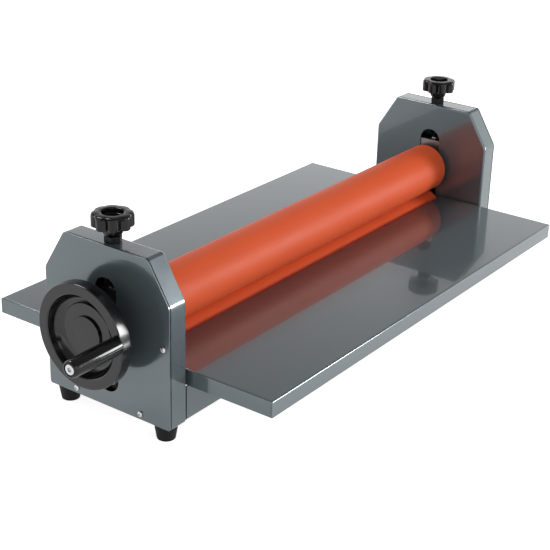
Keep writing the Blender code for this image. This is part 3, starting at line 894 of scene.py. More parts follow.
    def pick_faces(self, wanted: Callable[[Vector, Vector], bool]) -> int:
        """Selects faces in edit mode.

        Args:
            wanted: A test of a face's middle and its normal.

        Returns:
            How many faces are selected.
        """
        self.open()
        bpy.ops.mesh.select_mode(type="FACE")
        bpy.ops.mesh.select_all(action="DESELECT")
        mesh = bmesh.from_edit_mesh(self.obj.data)
        chosen = [face for face in mesh.faces if wanted(face.calc_center_median(), face.normal)]
        for face in chosen:
            face.select_set(True)
        bmesh.update_edit_mesh(self.obj.data)
        return len(chosen)

    def pick_edges(self, wanted: Callable[[Vector, Vector], bool]) -> int:
        """Selects edges in edit mode.

        Args:
            wanted: A test of an edge's two ends.

        Returns:
            How many edges are selected.
        """
        self.open()
        bpy.ops.mesh.select_mode(type="EDGE")
        bpy.ops.mesh.select_all(action="DESELECT")
        mesh = bmesh.from_edit_mesh(self.obj.data)
        chosen = [edge for edge in mesh.edges if wanted(*(vertex.co for vertex in edge.verts))]
        for edge in chosen:
            edge.select_set(True)
        bmesh.update_edit_mesh(self.obj.data)
        return len(chosen)

    def pick_points(self, wanted: Callable[[Vector], bool]) -> int:
        """Selects vertices in edit mode.

        Args:
            wanted: A test of a vertex's place.

        Returns:
            How many vertices are selected.
        """
        self.open()
        bpy.ops.mesh.select_mode(type="VERT")
        bpy.ops.mesh.select_all(action="DESELECT")
        mesh = bmesh.from_edit_mesh(self.obj.data)
        chosen = [vertex for vertex in mesh.verts if wanted(vertex.co)]
        for vertex in chosen:
            vertex.select_set(True)
        bmesh.update_edit_mesh(self.obj.data)
        return len(chosen)

    def trim(self, point: Vector, outward: Vector) -> Piece:
        """Cuts away all that lies beyond a plane, and closes the cut.

        Args:
            point: A point on the plane.
            outward: The way the waste lies.

        Returns:
            This piece.
        """
        self.open()
        bpy.ops.mesh.select_all(action="SELECT")
        bpy.ops.mesh.bisect(plane_co=point, plane_no=outward.normalized(), use_fill=True, clear_outer=True)
        bpy.ops.object.mode_set(mode="OBJECT")
        return self

    def remove_faces(self, wanted: Callable[[Vector, Vector], bool]) -> Piece:
        """Opens the piece by deleting faces.

        Args:
            wanted: A test of a face's middle and its normal.

        Returns:
            This piece.
        """
        self.pick_faces(wanted)
        bpy.ops.mesh.delete(type="FACE")
        bpy.ops.object.mode_set(mode="OBJECT")
        return self

    def round_edges(self, width: float, segments: int, wanted: Callable[[Vector, Vector], bool]) -> Piece:
        """Rounds some of the edges.

        Args:
            width: How far from the edge the round starts.
            segments: How many faces make it.
            wanted: A test of an edge's two ends.

        Returns:
            This piece.
        """
        self.pick_edges(wanted)
        bpy.ops.mesh.bevel(offset=width, segments=segments, profile=0.5, affect="EDGES")
        bpy.ops.object.mode_set(mode="OBJECT")
        return self

    def modify(self, kind: str, **settings: object) -> Piece:
        """Adds a modifier and applies it.

        Args:
            kind: The modifier's type.
            **settings: Its properties.

        Returns:
            This piece.
        """
        self.clear_bench()
        self.obj.select_set(True)
        bpy.context.view_layer.objects.active = self.obj
        modifier = self.obj.modifiers.new(kind.lower(), kind)
        for name, value in settings.items():
            setattr(modifier, name, value)
        bpy.ops.object.modifier_apply(modifier=modifier.name)
        return self

    def soften(self, width: float, segments: int = 2, angle: float = 40.0) -> Piece:
        """Breaks every sharp edge with a small round, and shades the rest smooth.

        Args:
            width: The round's width.
            segments: How many faces make it.
            angle: The least angle, in degrees, that counts as sharp.

        Returns:
            This piece.
        """
        self.modify(
            "BEVEL",
            width=width,
            segments=segments,
            limit_method="ANGLE",
            angle_limit=math.radians(angle),
            use_clamp_overlap=True,
            miter_outer="MITER_ARC",
        )
        return self.smooth()

    def smooth(self, angle: float = 32.0) -> Piece:
        """Shades the piece smooth, with its broad faces kept flat.

        Args:
            angle: The angle, in degrees, from which an edge stays sharp.

        Returns:
            This piece.
        """
        self.clear_bench()
        self.obj.select_set(True)
        bpy.context.view_layer.objects.active = self.obj
        bpy.ops.object.shade_smooth_by_angle(angle=math.radians(angle))
        return self.modify("WEIGHTED_NORMAL", mode="FACE_AREA", weight=50, keep_sharp=True)

    def combine(self, other: Piece, operation: str) -> Piece:
        """Cuts, joins or keeps what is shared with another piece, which is used up.

        Args:
            other: The other piece.
            operation: DIFFERENCE, UNION or INTERSECT.

        Returns:
            This piece.
        """
        self.modify("BOOLEAN", operation=operation, solver="EXACT", object=other.obj)
        bpy.data.meshes.remove(other.obj.data)
        return self

    def cut(self, *tools: Piece) -> Piece:
        """Cuts other pieces out of this one."""
        for tool in tools:
            self.combine(tool, "DIFFERENCE")
        return self

    def weld(self, *others: Piece) -> Piece:
        """Makes one closed body of this piece and others."""
        for other in others:
            self.combine(other, "UNION")
        return self

    def turn(self, axis: Axis, angle: float, centre: Vector) -> Piece:
        """Turns the piece.

        Args:
            axis: The axis of the turn.
            angle: The angle, in radians.
            centre: A point on that axis.

        Returns:
            This piece.
        """
        self.clear_bench()
        self.obj.select_set(True)
        bpy.context.view_layer.objects.active = self.obj
        bpy.ops.transform.rotate(value=angle, orient_axis=axis.name, center_override=centre)
        self.settle()
        return self

    # Copies

    def copy(self, name: str, shift: Vector) -> Piece:
        """Copies the piece, with its own mesh.

        Args:
            name: The copy's name.
            shift: How far the copy stands from this piece.

        Returns:
            The copy.
        """
        self.clear_bench()
        self.obj.select_set(True)
        bpy.context.view_layer.objects.active = self.obj
        bpy.ops.object.duplicate(linked=False)
        made = Piece(bpy.context.object, name)
        bpy.ops.transform.translate(value=shift)
        made.settle()
        return made

    def half_turned(self, name: str, middle: Vector) -> Piece:
        """Copies the piece to the machine's other side.

        Args:
            name: The copy's name.
            middle: A point on the machine's upright middle line.

        Returns:
            The copy.
        """
        return self.copy(name, Vector()).turn(Axis.Z, math.pi, middle)

    # Finishing

    def fit(self, body: Body | None, slot: Slot, finish: bpy.types.Material, *nodes: str) -> Piece:
        """Gives the piece its material and its place on the frame.

        Args:
            body: The body it moves with, or None for one that is left unattached.
            slot: The record's slot for its finish; not used.
            finish: Its material.
            *nodes: The CAD nodes it stands for.

        Returns:
            This piece.
        """
        self.clear_bench()
        self.obj.data.materials.clear()
        self.obj.data.materials.append(finish)
        if nodes:
            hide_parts(*nodes)
        if body is not None:
            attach(self.obj, body.value)
        LOG.info("%s: %d faces", self.obj.name, len(self.obj.data.polygons))
        return self


def along(axis: Axis) -> Callable[[Vector, Vector], bool]:
    """Makes a test for edges that run along an axis.

    Args:
        axis: The axis.

    Returns:
        The test, for pick_edges and round_edges.
    """

    def runs(one: Vector, other: Vector) -> bool:
        """Whether the edge between two points runs along the axis."""
        gap = other - one
        return gap.length > NEAR and abs(gap.normalized().dot(axis.vector)) > 1 - NEAR

    return runs


def obround(name: str, low: Vector, high: Vector) -> Piece:
    """Makes a cutter for an upright slot with round ends, cut along X.

    Args:
        name: The cutter's name.
        low: Its lowest corner.
        high: Its highest corner.

    Returns:
        The cutter.
    """
    half_width = (high.y - low.y) / 2
    return Piece.block(name, low, high).round_edges(half_width * 0.9995, 14, along(Axis.X))


def hexagon(name: str, axis: Axis, radius: float, start: Vector, height: float, bore: float) -> Piece:
    """Makes a hexagon nut with chamfered corners.

    Args:
        name: The nut's name.
        axis: The way its hole runs.
        radius: Its radius to the corners.
        start: The middle of its lower face.
        height: Its height.
        bore: The radius of its hole.

    Returns:
        The nut.
    """
    chamfer = 0.12 * radius
    nut = Piece.rod(name, axis, radius, start, height, 6)
    barrel = [
        (0.0, 0.0),
        (0.0, radius - 1.6 * chamfer),
        (0.5 * chamfer, radius),
        (height - 0.5 * chamfer, radius),
        (height, radius - 1.6 * chamfer),
        (height, 0.0),
    ]
    nut.combine(Piece.turned("barrel", axis, start, barrel, 48), "INTERSECT")
    margin = axis.vector * height
    nut.cut(Piece.rod("hole", axis, bore, start - margin, 3 * height, 32))
    return nut.soften(0.00018)


# The machine's sub-assemblies


@dataclass(frozen=True)
class Layout:
    """What every sub-assembly shares."""

    middle: Vector  # on the machine's upright middle line
    floor: float

    @classmethod
    def measure(cls) -> Layout:
        """Reads the layout from the frame."""
        left, right = Extent.of("left_casing"), Extent.of("right_casing")
        return cls(Vector(((left.high.x + right.low.x) / 2, 0, 0)), Extent.of("left_front_foot").low.z)


@dataclass
class Housings:
    """The folded side housings, their end covers and the covers' screws."""

    layout: Layout
    palette: Palette
    sheet: float = 0.0015
    fold: float = 0.003
    inner_fold: float = 0.0032
    shoulder_rise: float = 0.150
    top_width: float = 0.123
    slot_half_width: float = 0.0162
    slot_bottom: float = 0.0399
    slot_top: float = 0.1815
    seam: float = 0.0010
    tab_half_width: float = 0.007
    recess_depth: float = 0.0013
    recess_width: float = 0.0009
    recess_reach: float = 0.0019

    def trim_shoulders(self, piece: Piece, extent: Extent) -> Piece:
        """Cuts the two sloping shoulders.

        Args:
            piece: The housing's blank.
            extent: The box it fills.

        Returns:
            The piece.
        """
        shoulder = extent.low.z + self.shoulder_rise
        for flank in Flank:
            corner = Vector((0, flank.value * extent.high.y, shoulder))
            slope = Vector((0, flank.value * self.top_width / 2, extent.high.z)) - corner
            piece.trim(corner, Vector((0, flank.value * slope.z, abs(slope.y))))
        return piece

    def slot_cutter(self, extent: Extent) -> Piece:
        """Makes the cutter of the journals' slot.

        Args:
            extent: The box of the wall that it goes through.

        Returns:
            The cutter.
        """
        low = Vector((extent.low.x - self.fold, -self.slot_half_width, self.slot_bottom))
        high = Vector((extent.high.x + self.fold, self.slot_half_width, self.slot_top))
        return obround("slot cutter", low, high)

    def shells(self) -> None:
        """Folds the left shell, cuts its slot and adds its screw tabs, then copies it."""
        extent = Extent.of("left_casing")
        low = extent.low + Vector((self.seam, 0, 0))
        shell = self.trim_shoulders(Piece.block("left_shell", low, extent.high), extent)
        shell.round_edges(self.fold, 6, along(Axis.X))
        shell.remove_faces(lambda _, normal: normal.x < -0.9)
        inner = extent.high.x
        shell.round_edges(self.inner_fold, 5, lambda one, other: min(one.x, other.x) > inner - NEAR)
        shell.modify("SOLIDIFY", thickness=self.sheet, offset=-1, use_even_offset=True)
        wall = Extent(Vector((inner - 2 * self.sheet, 0, 0)), Vector((inner, 0, 0)))
        shell.cut(self.slot_cutter(wall))
        hole = Extent.of("left_pressure_screw").middle
        top = Vector((hole.x, 0, extent.high.z - 3 * self.sheet))
        shell.cut(Piece.rod("screw hole", Axis.Z, 0.0056, top, 6 * self.sheet, 32))
        shell.weld(*self.tabs(extent))
        shell.soften(0.00028)
        nodes = ("left_casing", "right_casing")
        pieces = (shell, shell.half_turned("right_shell", self.layout.middle))
        for piece, node in zip(pieces, nodes):
            piece.fit(Body.FRAME, Slot.ENAMEL, self.palette.enamel, node)

    def tabs(self, extent: Extent) -> list[Piece]:
        """Makes the tabs inside the left shell that take the cover's screws.

        Args:
            extent: The shell's box.

        Returns:
            The tabs.
        """
        made = []
        reach = self.tab_half_width
        for number in range(1, 5):
            place = Extent.of(f"left_cover_screw_{number}").middle
            outside = extent.low.x + self.seam
            low = Vector((outside + 0.0001, place.y - reach, place.z - reach))
            high = Vector((outside + self.sheet, place.y + reach, place.z + reach))
            if abs(place.y) > self.top_width / 2:
                edge = extent.high.y - self.sheet / 2
                low.y, high.y = (low.y, edge) if place.y > 0 else (-edge, high.y)
            else:
                low.z = extent.low.z + self.sheet / 2
            made.append(Piece.block(f"tab {number}", low, high))
        return made

    def covers(self) -> None:
        """Makes the slotted left cover and the plain right one."""
        for end in End:
            node = f"{end.label}_cover"
            extent = Extent.of(node)
            cover = Piece.block(f"{end.label}_end_cover", extent.low, extent.high)
            self.trim_shoulders(cover, extent)
            cover.round_edges(self.fold, 6, along(Axis.X))
            if end is End.LEFT:
                cover.cut(self.slot_cutter(extent))
            cover.soften(0.00035, 3)
            cover.fit(Body.FRAME, Slot.ENAMEL, self.palette.enamel, node)

    def screws(self) -> None:
        """Makes one pan-head screw with a cross recess, and its copies."""
        first = Extent.of("left_cover_screw_1")
        radius = first.size.z / 2
        crown, shank_end = first.low.x, first.high.x
        under_head = crown + 0.0022
        centre = Vector((0, first.middle.y, first.middle.z))
        outline = [
            (crown, 0.0),
            (crown, 0.45 * radius),
            (crown + 0.0003, 0.75 * radius),
            (crown + 0.0009, 0.97 * radius),
            (crown + 0.0014, radius),
            (under_head, radius),
            (under_head, 0.52 * radius),
            (shank_end, 0.52 * radius),
            (shank_end, 0.0),
        ]
        screw = Piece.turned("left_cover_pan_screw_1", Axis.X, centre, outline, 32)
        thin, long = self.recess_width / 2, self.recess_reach
        for half_y, half_z in ((thin, long), (long, thin)):
            low = Vector((crown - 0.001, centre.y - half_y, centre.z - half_z))
            high = Vector((crown + self.recess_depth, centre.y + half_y, centre.z + half_z))
            screw.cut(Piece.block("recess", low, high))
        screw.turn(Axis.X, 0.4, centre)
        screw.soften(0.00012)
        for end in End:
            for number in range(1, 5):
                node = f"{end.label}_cover_screw_{number}"
                name = f"{end.label}_cover_pan_screw_{number}"
                place = Extent.of(node).middle
                made = screw
                if end is End.LEFT and number > 1:
                    made = screw.copy(name, place - first.middle)
                elif end is End.RIGHT:
                    other_side = 2 * self.layout.middle.x - place.x
                    opposite = Vector((other_side, -place.y, place.z))
                    made = screw.copy(name, opposite - first.middle).turn(Axis.Z, math.pi, self.layout.middle)
                made.turn(Axis.X, 0.55 * number, place)
                made.fit(Body.FRAME, Slot.BRIGHT, self.palette.zinc, node)

    def build(self) -> None:
        """Builds the housings."""
        self.shells()
        self.covers()
        self.screws()
        for end in End:
            dress(f"{end.label}_side_plate", self.palette.oxide)


def dress(node: str, finish: bpy.types.Material) -> None:
    """Gives a CAD node that stays in view a better material.

    Args:
        node: The node's name.
        finish: The material.
    """
    obj = bpy.data.objects[node]
    for slot in obj.material_slots:
        slot.material = finish
    LOG.info("%s: finished in %s", node, finish.name)


@dataclass
class Feet:
    """The tapered rubber feet and their screws."""

    layout: Layout
    palette: Palette
    recess_radius: float = 0.00625
    recess_depth: float = 0.0115
    bore: float = 0.0028
    bottom_radius: float = 0.011

    def build(self) -> None:
        """Turns one foot and copies it to the four corners."""
        first = Extent.of("left_front_foot")
        top_radius = first.size.x / 2
        height = first.size.z
        outline = [
            (0.0, self.recess_radius),
            (0.0, self.bottom_radius - 0.0008),
            (0.0008, self.bottom_radius),
            (0.0030, self.bottom_radius + 0.0003),
            (height - 0.0022, top_radius - 0.0003),
            (height - 0.0012, top_radius),
            (height, top_radius),
            (height, self.bore),
            (self.recess_depth, self.bore),
            (self.recess_depth, self.recess_radius),
        ]
        centre = Vector((first.middle.x, first.middle.y, first.low.z))
        foot = Piece.turned("left_front_rubber_foot", Axis.Z, centre, outline, 48, closed=True)
        foot.soften(0.0004, 3, 25)
        for end in End:
            for flank in Flank:
                node = f"{end.label}_{flank.label}_foot"
                made = foot
                if node != "left_front_foot":
                    shift = Extent.of(node).middle - first.middle
                    made = foot.copy(f"{end.label}_{flank.label}_rubber_foot", shift)
                made.fit(Body.FRAME, Slot.RUBBER, self.palette.rubber, node)
                dress(f"{node}_screw", self.palette.zinc)


@dataclass
class Channels:
    """The two folded channels that join the housings, and the bolts at their ends."""

    layout: Layout
    palette: Palette
    sheet: float = 0.002
    fold: float = 0.0032
    gap: float = 0.0010
    notch_reach: float = 0.0070
    notch_bottom: float = 0.0637
    bolt_heights: tuple[float, float] = (0.032, 0.054)
    bolt_radius: float = 0.0042

    def build(self) -> None:
        """Folds the front channel, cuts its ends and copies it to the rear."""
        node = Extent.of("front_beam")
        inset = Vector((self.gap, 0, 0))
        extent = Extent(node.low + inset, node.high - inset)
        channel = Piece.block("front_channel", extent.low, extent.high)
        channel.remove_faces(lambda _, normal: normal.y > 0.9 or abs(normal.x) > 0.9)
        outer = extent.low.y
        channel.round_edges(
            self.fold,
            5,
            lambda one, other: max(one.y, other.y) < outer + NEAR and abs(one.z - other.z) < NEAR,
        )
        channel.modify("SOLIDIFY", thickness=self.sheet, offset=-1, use_even_offset=True)
        for end in End:
            edge = extent.low.x if end is End.LEFT else extent.high.x
            inner = edge - end.value * self.notch_reach
            outside = edge + end.value * self.notch_reach
            low = Vector((min(inner, outside), extent.low.y - self.sheet, self.notch_bottom))
            high = Vector((max(inner, outside), extent.high.y + self.sheet, extent.high.z + self.sheet))
            channel.cut(Piece.block("notch", low, high))
            face = edge - end.value * self.sheet / 2
            back = face - end.value * self.sheet
            low = Vector((min(face, back), extent.low.y + self.sheet / 2, extent.low.z + self.sheet / 2))
            high = Vector((max(face, back), extent.high.y, self.notch_bottom - self.sheet / 2))
            channel.weld(Piece.block("flange", low, high))
        channel.soften(0.00030)
        channel.fit(Body.FRAME, Slot.ENAMEL, self.palette.enamel, "front_beam")
        rear = channel.half_turned("rear_channel", self.layout.middle)
        rear.fit(Body.FRAME, Slot.ENAMEL, self.palette.enamel, "rear_beam")
        self.bolts(extent)

    def bolts(self, extent: Extent) -> None:
        """Makes the button-head bolts that hold the channels' ends.

        Args:
            extent: The front channel's box.
        """
        seat = extent.low.x + 1.5 * self.sheet + 0.0002
        middle_y = extent.middle.y
        radius = self.bolt_radius
        centre = Vector((0, middle_y, self.bolt_heights[0]))
        outline = [
            (seat, 0.0),
            (seat, radius),
            (seat + 0.0008, radius),
            (seat + 0.0019, 0.78 * radius),
            (seat + 0.0024, 0.5 * radius),
            (seat + 0.0024, 0.0),
        ]
        bolt = Piece.turned("front_left_channel_bolt_1", Axis.X, centre, outline, 32)
        socket = Vector((seat + 0.0010, centre.y, centre.z))
        bolt.cut(Piece.rod("socket", Axis.X, 0.36 * radius, socket, 0.004, 6))
        bolt.soften(0.00015)
        rise = Vector((0, 0, self.bolt_heights[1] - self.bolt_heights[0]))
        pair = [bolt, bolt.copy("front_left_channel_bolt_2", rise)]
        across = Vector((0, -2 * middle_y, 0))
        made = pair + [one.copy(f"rear_left_channel_bolt_{i}", across) for i, one in enumerate(pair, 1)]
        for one in list(made):
            flank = "rear" if one.obj.name.startswith("front") else "front"
            name = f"{flank}_right_channel_bolt_{one.obj.name[-1]}"
            made.append(one.half_turned(name, self.layout.middle))
        for one in made:
            one.fit(Body.FRAME, Slot.OXIDE, self.palette.oxide)


@dataclass
class Tables:
    """The folded feed tables, their studs and the studs' nuts."""

    layout: Layout
    palette: Palette
    sheet: float = 0.0015
    fold: float = 0.0021
    lip: float = 0.005
    seam: float = 0.0005
    stud_radius: float = 0.0025

    def build(self) -> None:
        """Folds the front table, fits its studs and copies it all to the rear."""
        node = Extent.of("front_table")
        table = Piece.block("front_feed_table", node.low, node.high)
        table.remove_faces(lambda _, normal: normal.z < -0.9)
        top, inner, outer = node.high.z, node.high.y, node.low.y
        table.round_edges(self.fold, 5, lambda one, other: min(one.z, other.z) > top - NEAR)
        table.modify("SOLIDIFY", thickness=self.sheet, offset=-1, use_even_offset=True)
        low = Vector((node.low.x - self.sheet, inner - 2 * self.sheet, node.low.z - self.sheet))
        high = Vector((node.high.x + self.sheet, inner + self.sheet, top - self.lip))
        table.cut(Piece.block("lip trim", low, high))
        for end in End:
            edge = node.low.x if end is End.LEFT else node.high.x
            near, far = sorted((edge + end.value * self.sheet, edge - end.value * 1.5 * self.sheet))
            low = Vector((near, outer + self.sheet, node.low.z - self.sheet))
            high = Vector((far, outer + self.sheet + self.seam, top - 2 * self.fold))
            table.cut(Piece.block("corner seam", low, high))
        table.soften(0.00028)
        table.fit(Body.FRAME, Slot.ENAMEL, self.palette.enamel, "front_table")
        rear = table.half_turned("rear_feed_table", self.layout.middle)
        rear.fit(Body.FRAME, Slot.ENAMEL, self.palette.enamel, "rear_table")
        self.fasteners(node)

    def fasteners(self, table: Extent) -> None:
        """Makes the welded studs and their nuts.

        Args:
            table: The front table's box.
        """
        node = Extent.of("front_table_nut_1")
        nut_radius = node.size.x / 2
        seat = Vector((node.middle.x, node.middle.y, node.low.z))
        bore = self.stud_radius + 0.00015
        nut = hexagon("front_table_hex_nut_1", Axis.Z, nut_radius, seat, node.size.z, bore)
        stud_top = table.high.z - self.sheet / 2
        stud_foot = node.low.z - 0.0058
        length = stud_top - stud_foot
        centre = Vector((node.middle.x, node.middle.y, stud_foot))
        outline = [
            (0.0, 0.0),
            (0.0, 0.8 * self.stud_radius),
            (0.0005, self.stud_radius),
            (length, self.stud_radius),
            (length, 0.0),
        ]
        stud = Piece.turned("front_table_weld_stud_1", Axis.Z, centre, outline, 24).smooth()
        shift = Extent.of("front_table_nut_2").middle - node.middle
        nuts = [nut, nut.copy("front_table_hex_nut_2", shift)]
        studs = [stud, stud.copy("front_table_weld_stud_2", shift)]
        for number, (fixed, turned) in enumerate(zip(studs, nuts), 1):
            fixed.fit(Body.FRAME, Slot.BRIGHT, self.palette.zinc)
            turned.fit(Body.FRAME, Slot.BRIGHT, self.palette.zinc, f"front_table_nut_{number}")
            opposite = 3 - number
            rear = fixed.half_turned(f"rear_table_weld_stud_{opposite}", self.layout.middle)
            rear.fit(Body.FRAME, Slot.BRIGHT, self.palette.zinc)
            rear = turned.half_turned(f"rear_table_hex_nut_{opposite}", self.layout.middle)
            rear.fit(Body.FRAME, Slot.BRIGHT, self.palette.zinc, f"rear_table_nut_{opposite}")


@dataclass
class Bearings:
    """The sliding bearing blocks, their bronze bushes and the lift springs."""

    layout: Layout
    palette: Palette
    core_half_width: float = 0.020
    flange_set_back: float = 0.006
    flange_drop: float = 0.0055
    bush_seat_radius: float = 0.0133
    overcut: float = 0.01
    plate: float = 0.0004
    wire_radius: float = 0.001
    turns: int = 4

    def block(self, name: str, node: str, axis_height: float, drop: float) -> Piece:
        """Makes one bearing block.

        Args:
            name: The piece's name.
            node: The CAD node it stands for.
            axis_height: The height of its bore.
            drop: How far its flange stops below its top.

        Returns:
            The block.
        """
        extent = Extent.of(node)
        half = self.core_half_width
        core = Piece.block(name, (extent.low.x, -half, extent.low.z), (extent.high.x, half, extent.high.z))
        flange_high = (extent.high.x - self.flange_set_back, extent.high.y, extent.high.z - drop)
        core.weld(Piece.block("flange", extent.low, flange_high))
        start = Vector((extent.low.x - self.overcut, 0, axis_height))
        length = extent.size.x + 2 * self.overcut
        core.cut(Piece.rod("bore", Axis.X, self.bush_seat_radius, start, length, 48))
        return core.soften(0.0005, 3)

    def bush(self, name: str, node: str) -> Piece:
        """Turns one bronze bush.

        Args:
            name: The piece's name.
            node: The CAD node it stands for.

        Returns:
            The bush.
        """
        extent = Extent.of(node)
        centre = Vector((0, 0, extent.middle.z))
        collar = extent.low.x + 0.0015
        outline = [
            (extent.low.x, 0.0101),
            (extent.low.x, extent.size.z / 2),
            (collar, extent.size.z / 2),
            (collar, 0.0130),
            (extent.high.x, 0.0130),
            (extent.high.x, 0.0101),
        ]
        return Piece.turned(name, Axis.X, centre, outline, 48, closed=True).soften(0.0002)

    def wear_plate(self, name: str, node: str, axis_height: float) -> Piece:
        """Makes the thin bright plate on a block's inner face.

        Args:
            name: The piece's name.
            node: The block's CAD node.
            axis_height: The height of its bore.

        Returns:
            The plate.
        """
        extent = Extent.of(node)
        inner = extent.high.x
        half = self.core_half_width - 0.0006
        low = (inner - 0.0001, -half, extent.low.z + 0.0006)
        high = (inner + self.plate, half, extent.high.z - 0.0006)
        plate = Piece.block(name, low, high).round_edges(0.0012, 3, along(Axis.X))
        start = Vector((inner - 0.005, 0, axis_height))
        plate.cut(Piece.rod("bore", Axis.X, 0.0158, start, 0.01, 48))
        return plate.soften(0.0001)

    def spring(self) -> Piece:
        """Winds the left lift spring.

        Returns:
            The spring.
        """
        extent = Extent.of("left_lift_spring")
        coil_radius = extent.size.x / 2 - self.wire_radius
        pitch = (extent.size.z - 2.2 * self.wire_radius) / self.turns
        wire = []
        for step in range(12):
            turn = 2 * math.pi * step / 12
            height = self.wire_radius * 1.1 + self.wire_radius * math.sin(turn)
            wire.append((height, coil_radius + self.wire_radius * math.cos(turn)))
        foot = Vector((extent.middle.x, 0, extent.low.z))
        return Piece.coiled("left_coil_spring", foot, wire, pitch, self.turns, 32, closed=True).smooth(50)

    def build(self) -> None:
        """Builds the left end's bearings and copies them to the right."""
        for level, body, drop in (("lower", Body.FRAME, 0.0), ("upper", Body.CARRIAGE, self.flange_drop)):
            axis_height = Extent.of(f"left_{level}_bush").middle.z
            block = self.block(f"left_{level}_block", f"left_{level}_bearing_block", axis_height, drop)
            bush = self.bush(f"left_{level}_bronze_bush", f"left_{level}_bush")
            plate = self.wear_plate(f"left_{level}_wear_plate", f"left_{level}_bearing_block", axis_height)
            for piece, word, node, slot, finish in (
                (block, "block", "bearing_block", Slot.OXIDE, self.palette.oxide),
                # The bushes take the bronze whose colour is darkened as painted shade for the slots' depths.
                (bush, "bronze_bush", "bush", Slot.BRONZE, self.palette.bronze),
                (plate, "wear_plate", "", Slot.BRIGHT, self.palette.ground),
            ):
                twin = piece.half_turned(f"right_{level}_{word}", self.layout.middle)
                for end, made in ((End.LEFT, piece), (End.RIGHT, twin)):
                    stands_for = [f"{end.label}_{level}_{node}"] if node else []
                    made.fit(body, slot, finish, *stands_for)
        spring = self.spring()
        springs = (spring, spring.half_turned("right_coil_spring", self.layout.middle))
        for end, piece in zip(End, springs):
            node = f"{end.label}_lift_spring"
            extent = Extent.of(node)
            piece.fit(None, Slot.BRIGHT, self.palette.zinc, node)
            finish = Vector((extent.middle.x, 0, extent.high.z))
            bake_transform(piece.obj)


@dataclass
class Roller:
    """One rubber-covered roller with its tube and journals."""

    level: str
    body: Body
    palette: Palette
    edge: float = 0.0009

    def sleeve(self) -> None:
        """Turns the rubber sleeve."""
        node = f"{self.level}_sleeve"
        extent = Extent.of(node)
        centre = Vector((0, 0, extent.middle.z))
        radius, bore = extent.size.y / 2, 0.0273
        outline = [
            (extent.low.x, bore),
            (extent.low.x, radius - self.edge),
            (extent.low.x + self.edge, radius),
        ]
        lengths = 12
        for step in range(1, lengths):
            outline.append((extent.low.x + extent.size.x * step / lengths, radius))
        outline += [
            (extent.high.x - self.edge, radius),
            (extent.high.x, radius - self.edge),
            (extent.high.x, bore),
        ]
        sleeve = Piece.turned(f"{self.level}_roller_sleeve", Axis.X, centre, outline, 128, closed=True)
        sleeve.soften(0.00035, 3, 30)
        sleeve.fit(self.body, Slot.SILICONE, self.palette.silicone, node)

    def tube(self) -> None:
        """Turns the steel tube."""
        node = f"{self.level}_tube"
        extent = Extent.of(node)
        centre = Vector((0, 0, extent.middle.z))
        radius, bore = extent.size.y / 2, 0.0235
        low, high = extent.low.x, extent.high.x
        outline = [(low, bore), (low, radius), (high, radius), (high, bore)]
        tube = Piece.turned(f"{self.level}_roller_tube", Axis.X, centre, outline, 96, closed=True)
        tube.soften(0.0003)
        tube.fit(self.body, Slot.BRIGHT, self.palette.turned, node)

    def journal(self, end: End) -> None:
        """Turns one journal with its plug.

        Args:
            end: The roller's end that it goes in.
        """
        node = f"{self.level}_{end.label}_journal"
        extent = Extent.of(node)
        tube = Extent.of(f"{self.level}_tube")
        face = tube.low.x if end is End.LEFT else tube.high.x
        centre = Vector((face, 0, extent.middle.z))
        tip = abs((extent.low.x if end is End.LEFT else extent.high.x) - face)
        root = -abs((extent.high.x if end is End.LEFT else extent.low.x) - face)
        radius = extent.size.y / 2
        shaft = 0.010
        outline = [(root, 0.0), (root, 0.6 * radius), (root, radius), (-0.0015, radius), (-0.0015, 0.014)]
        outline += [(0.0, 0.014), (0.0, shaft)]
        if self.level == "upper" and end is End.LEFT:
            step = abs(Extent.of("handwheel").high.x - face) - 0.0003
            outline += [(step, shaft), (step, 0.008)]
            shaft = 0.008
        outline += [(tip - 0.0008, shaft), (tip, shaft - 0.0008), (tip, 0.0)]
        outline = [(end.value * distance, size) for distance, size in outline]
        journal = Piece.turned(f"{self.level}_roller_{end.label}_journal", Axis.X, centre, outline, 64)
        journal.soften(0.0003)
        journal.fit(self.body, Slot.BRIGHT, self.palette.turned, node)

    def build(self) -> None:
        """Builds the roller."""
        self.sleeve()
        self.tube()
        for end in End:
            self.journal(end)


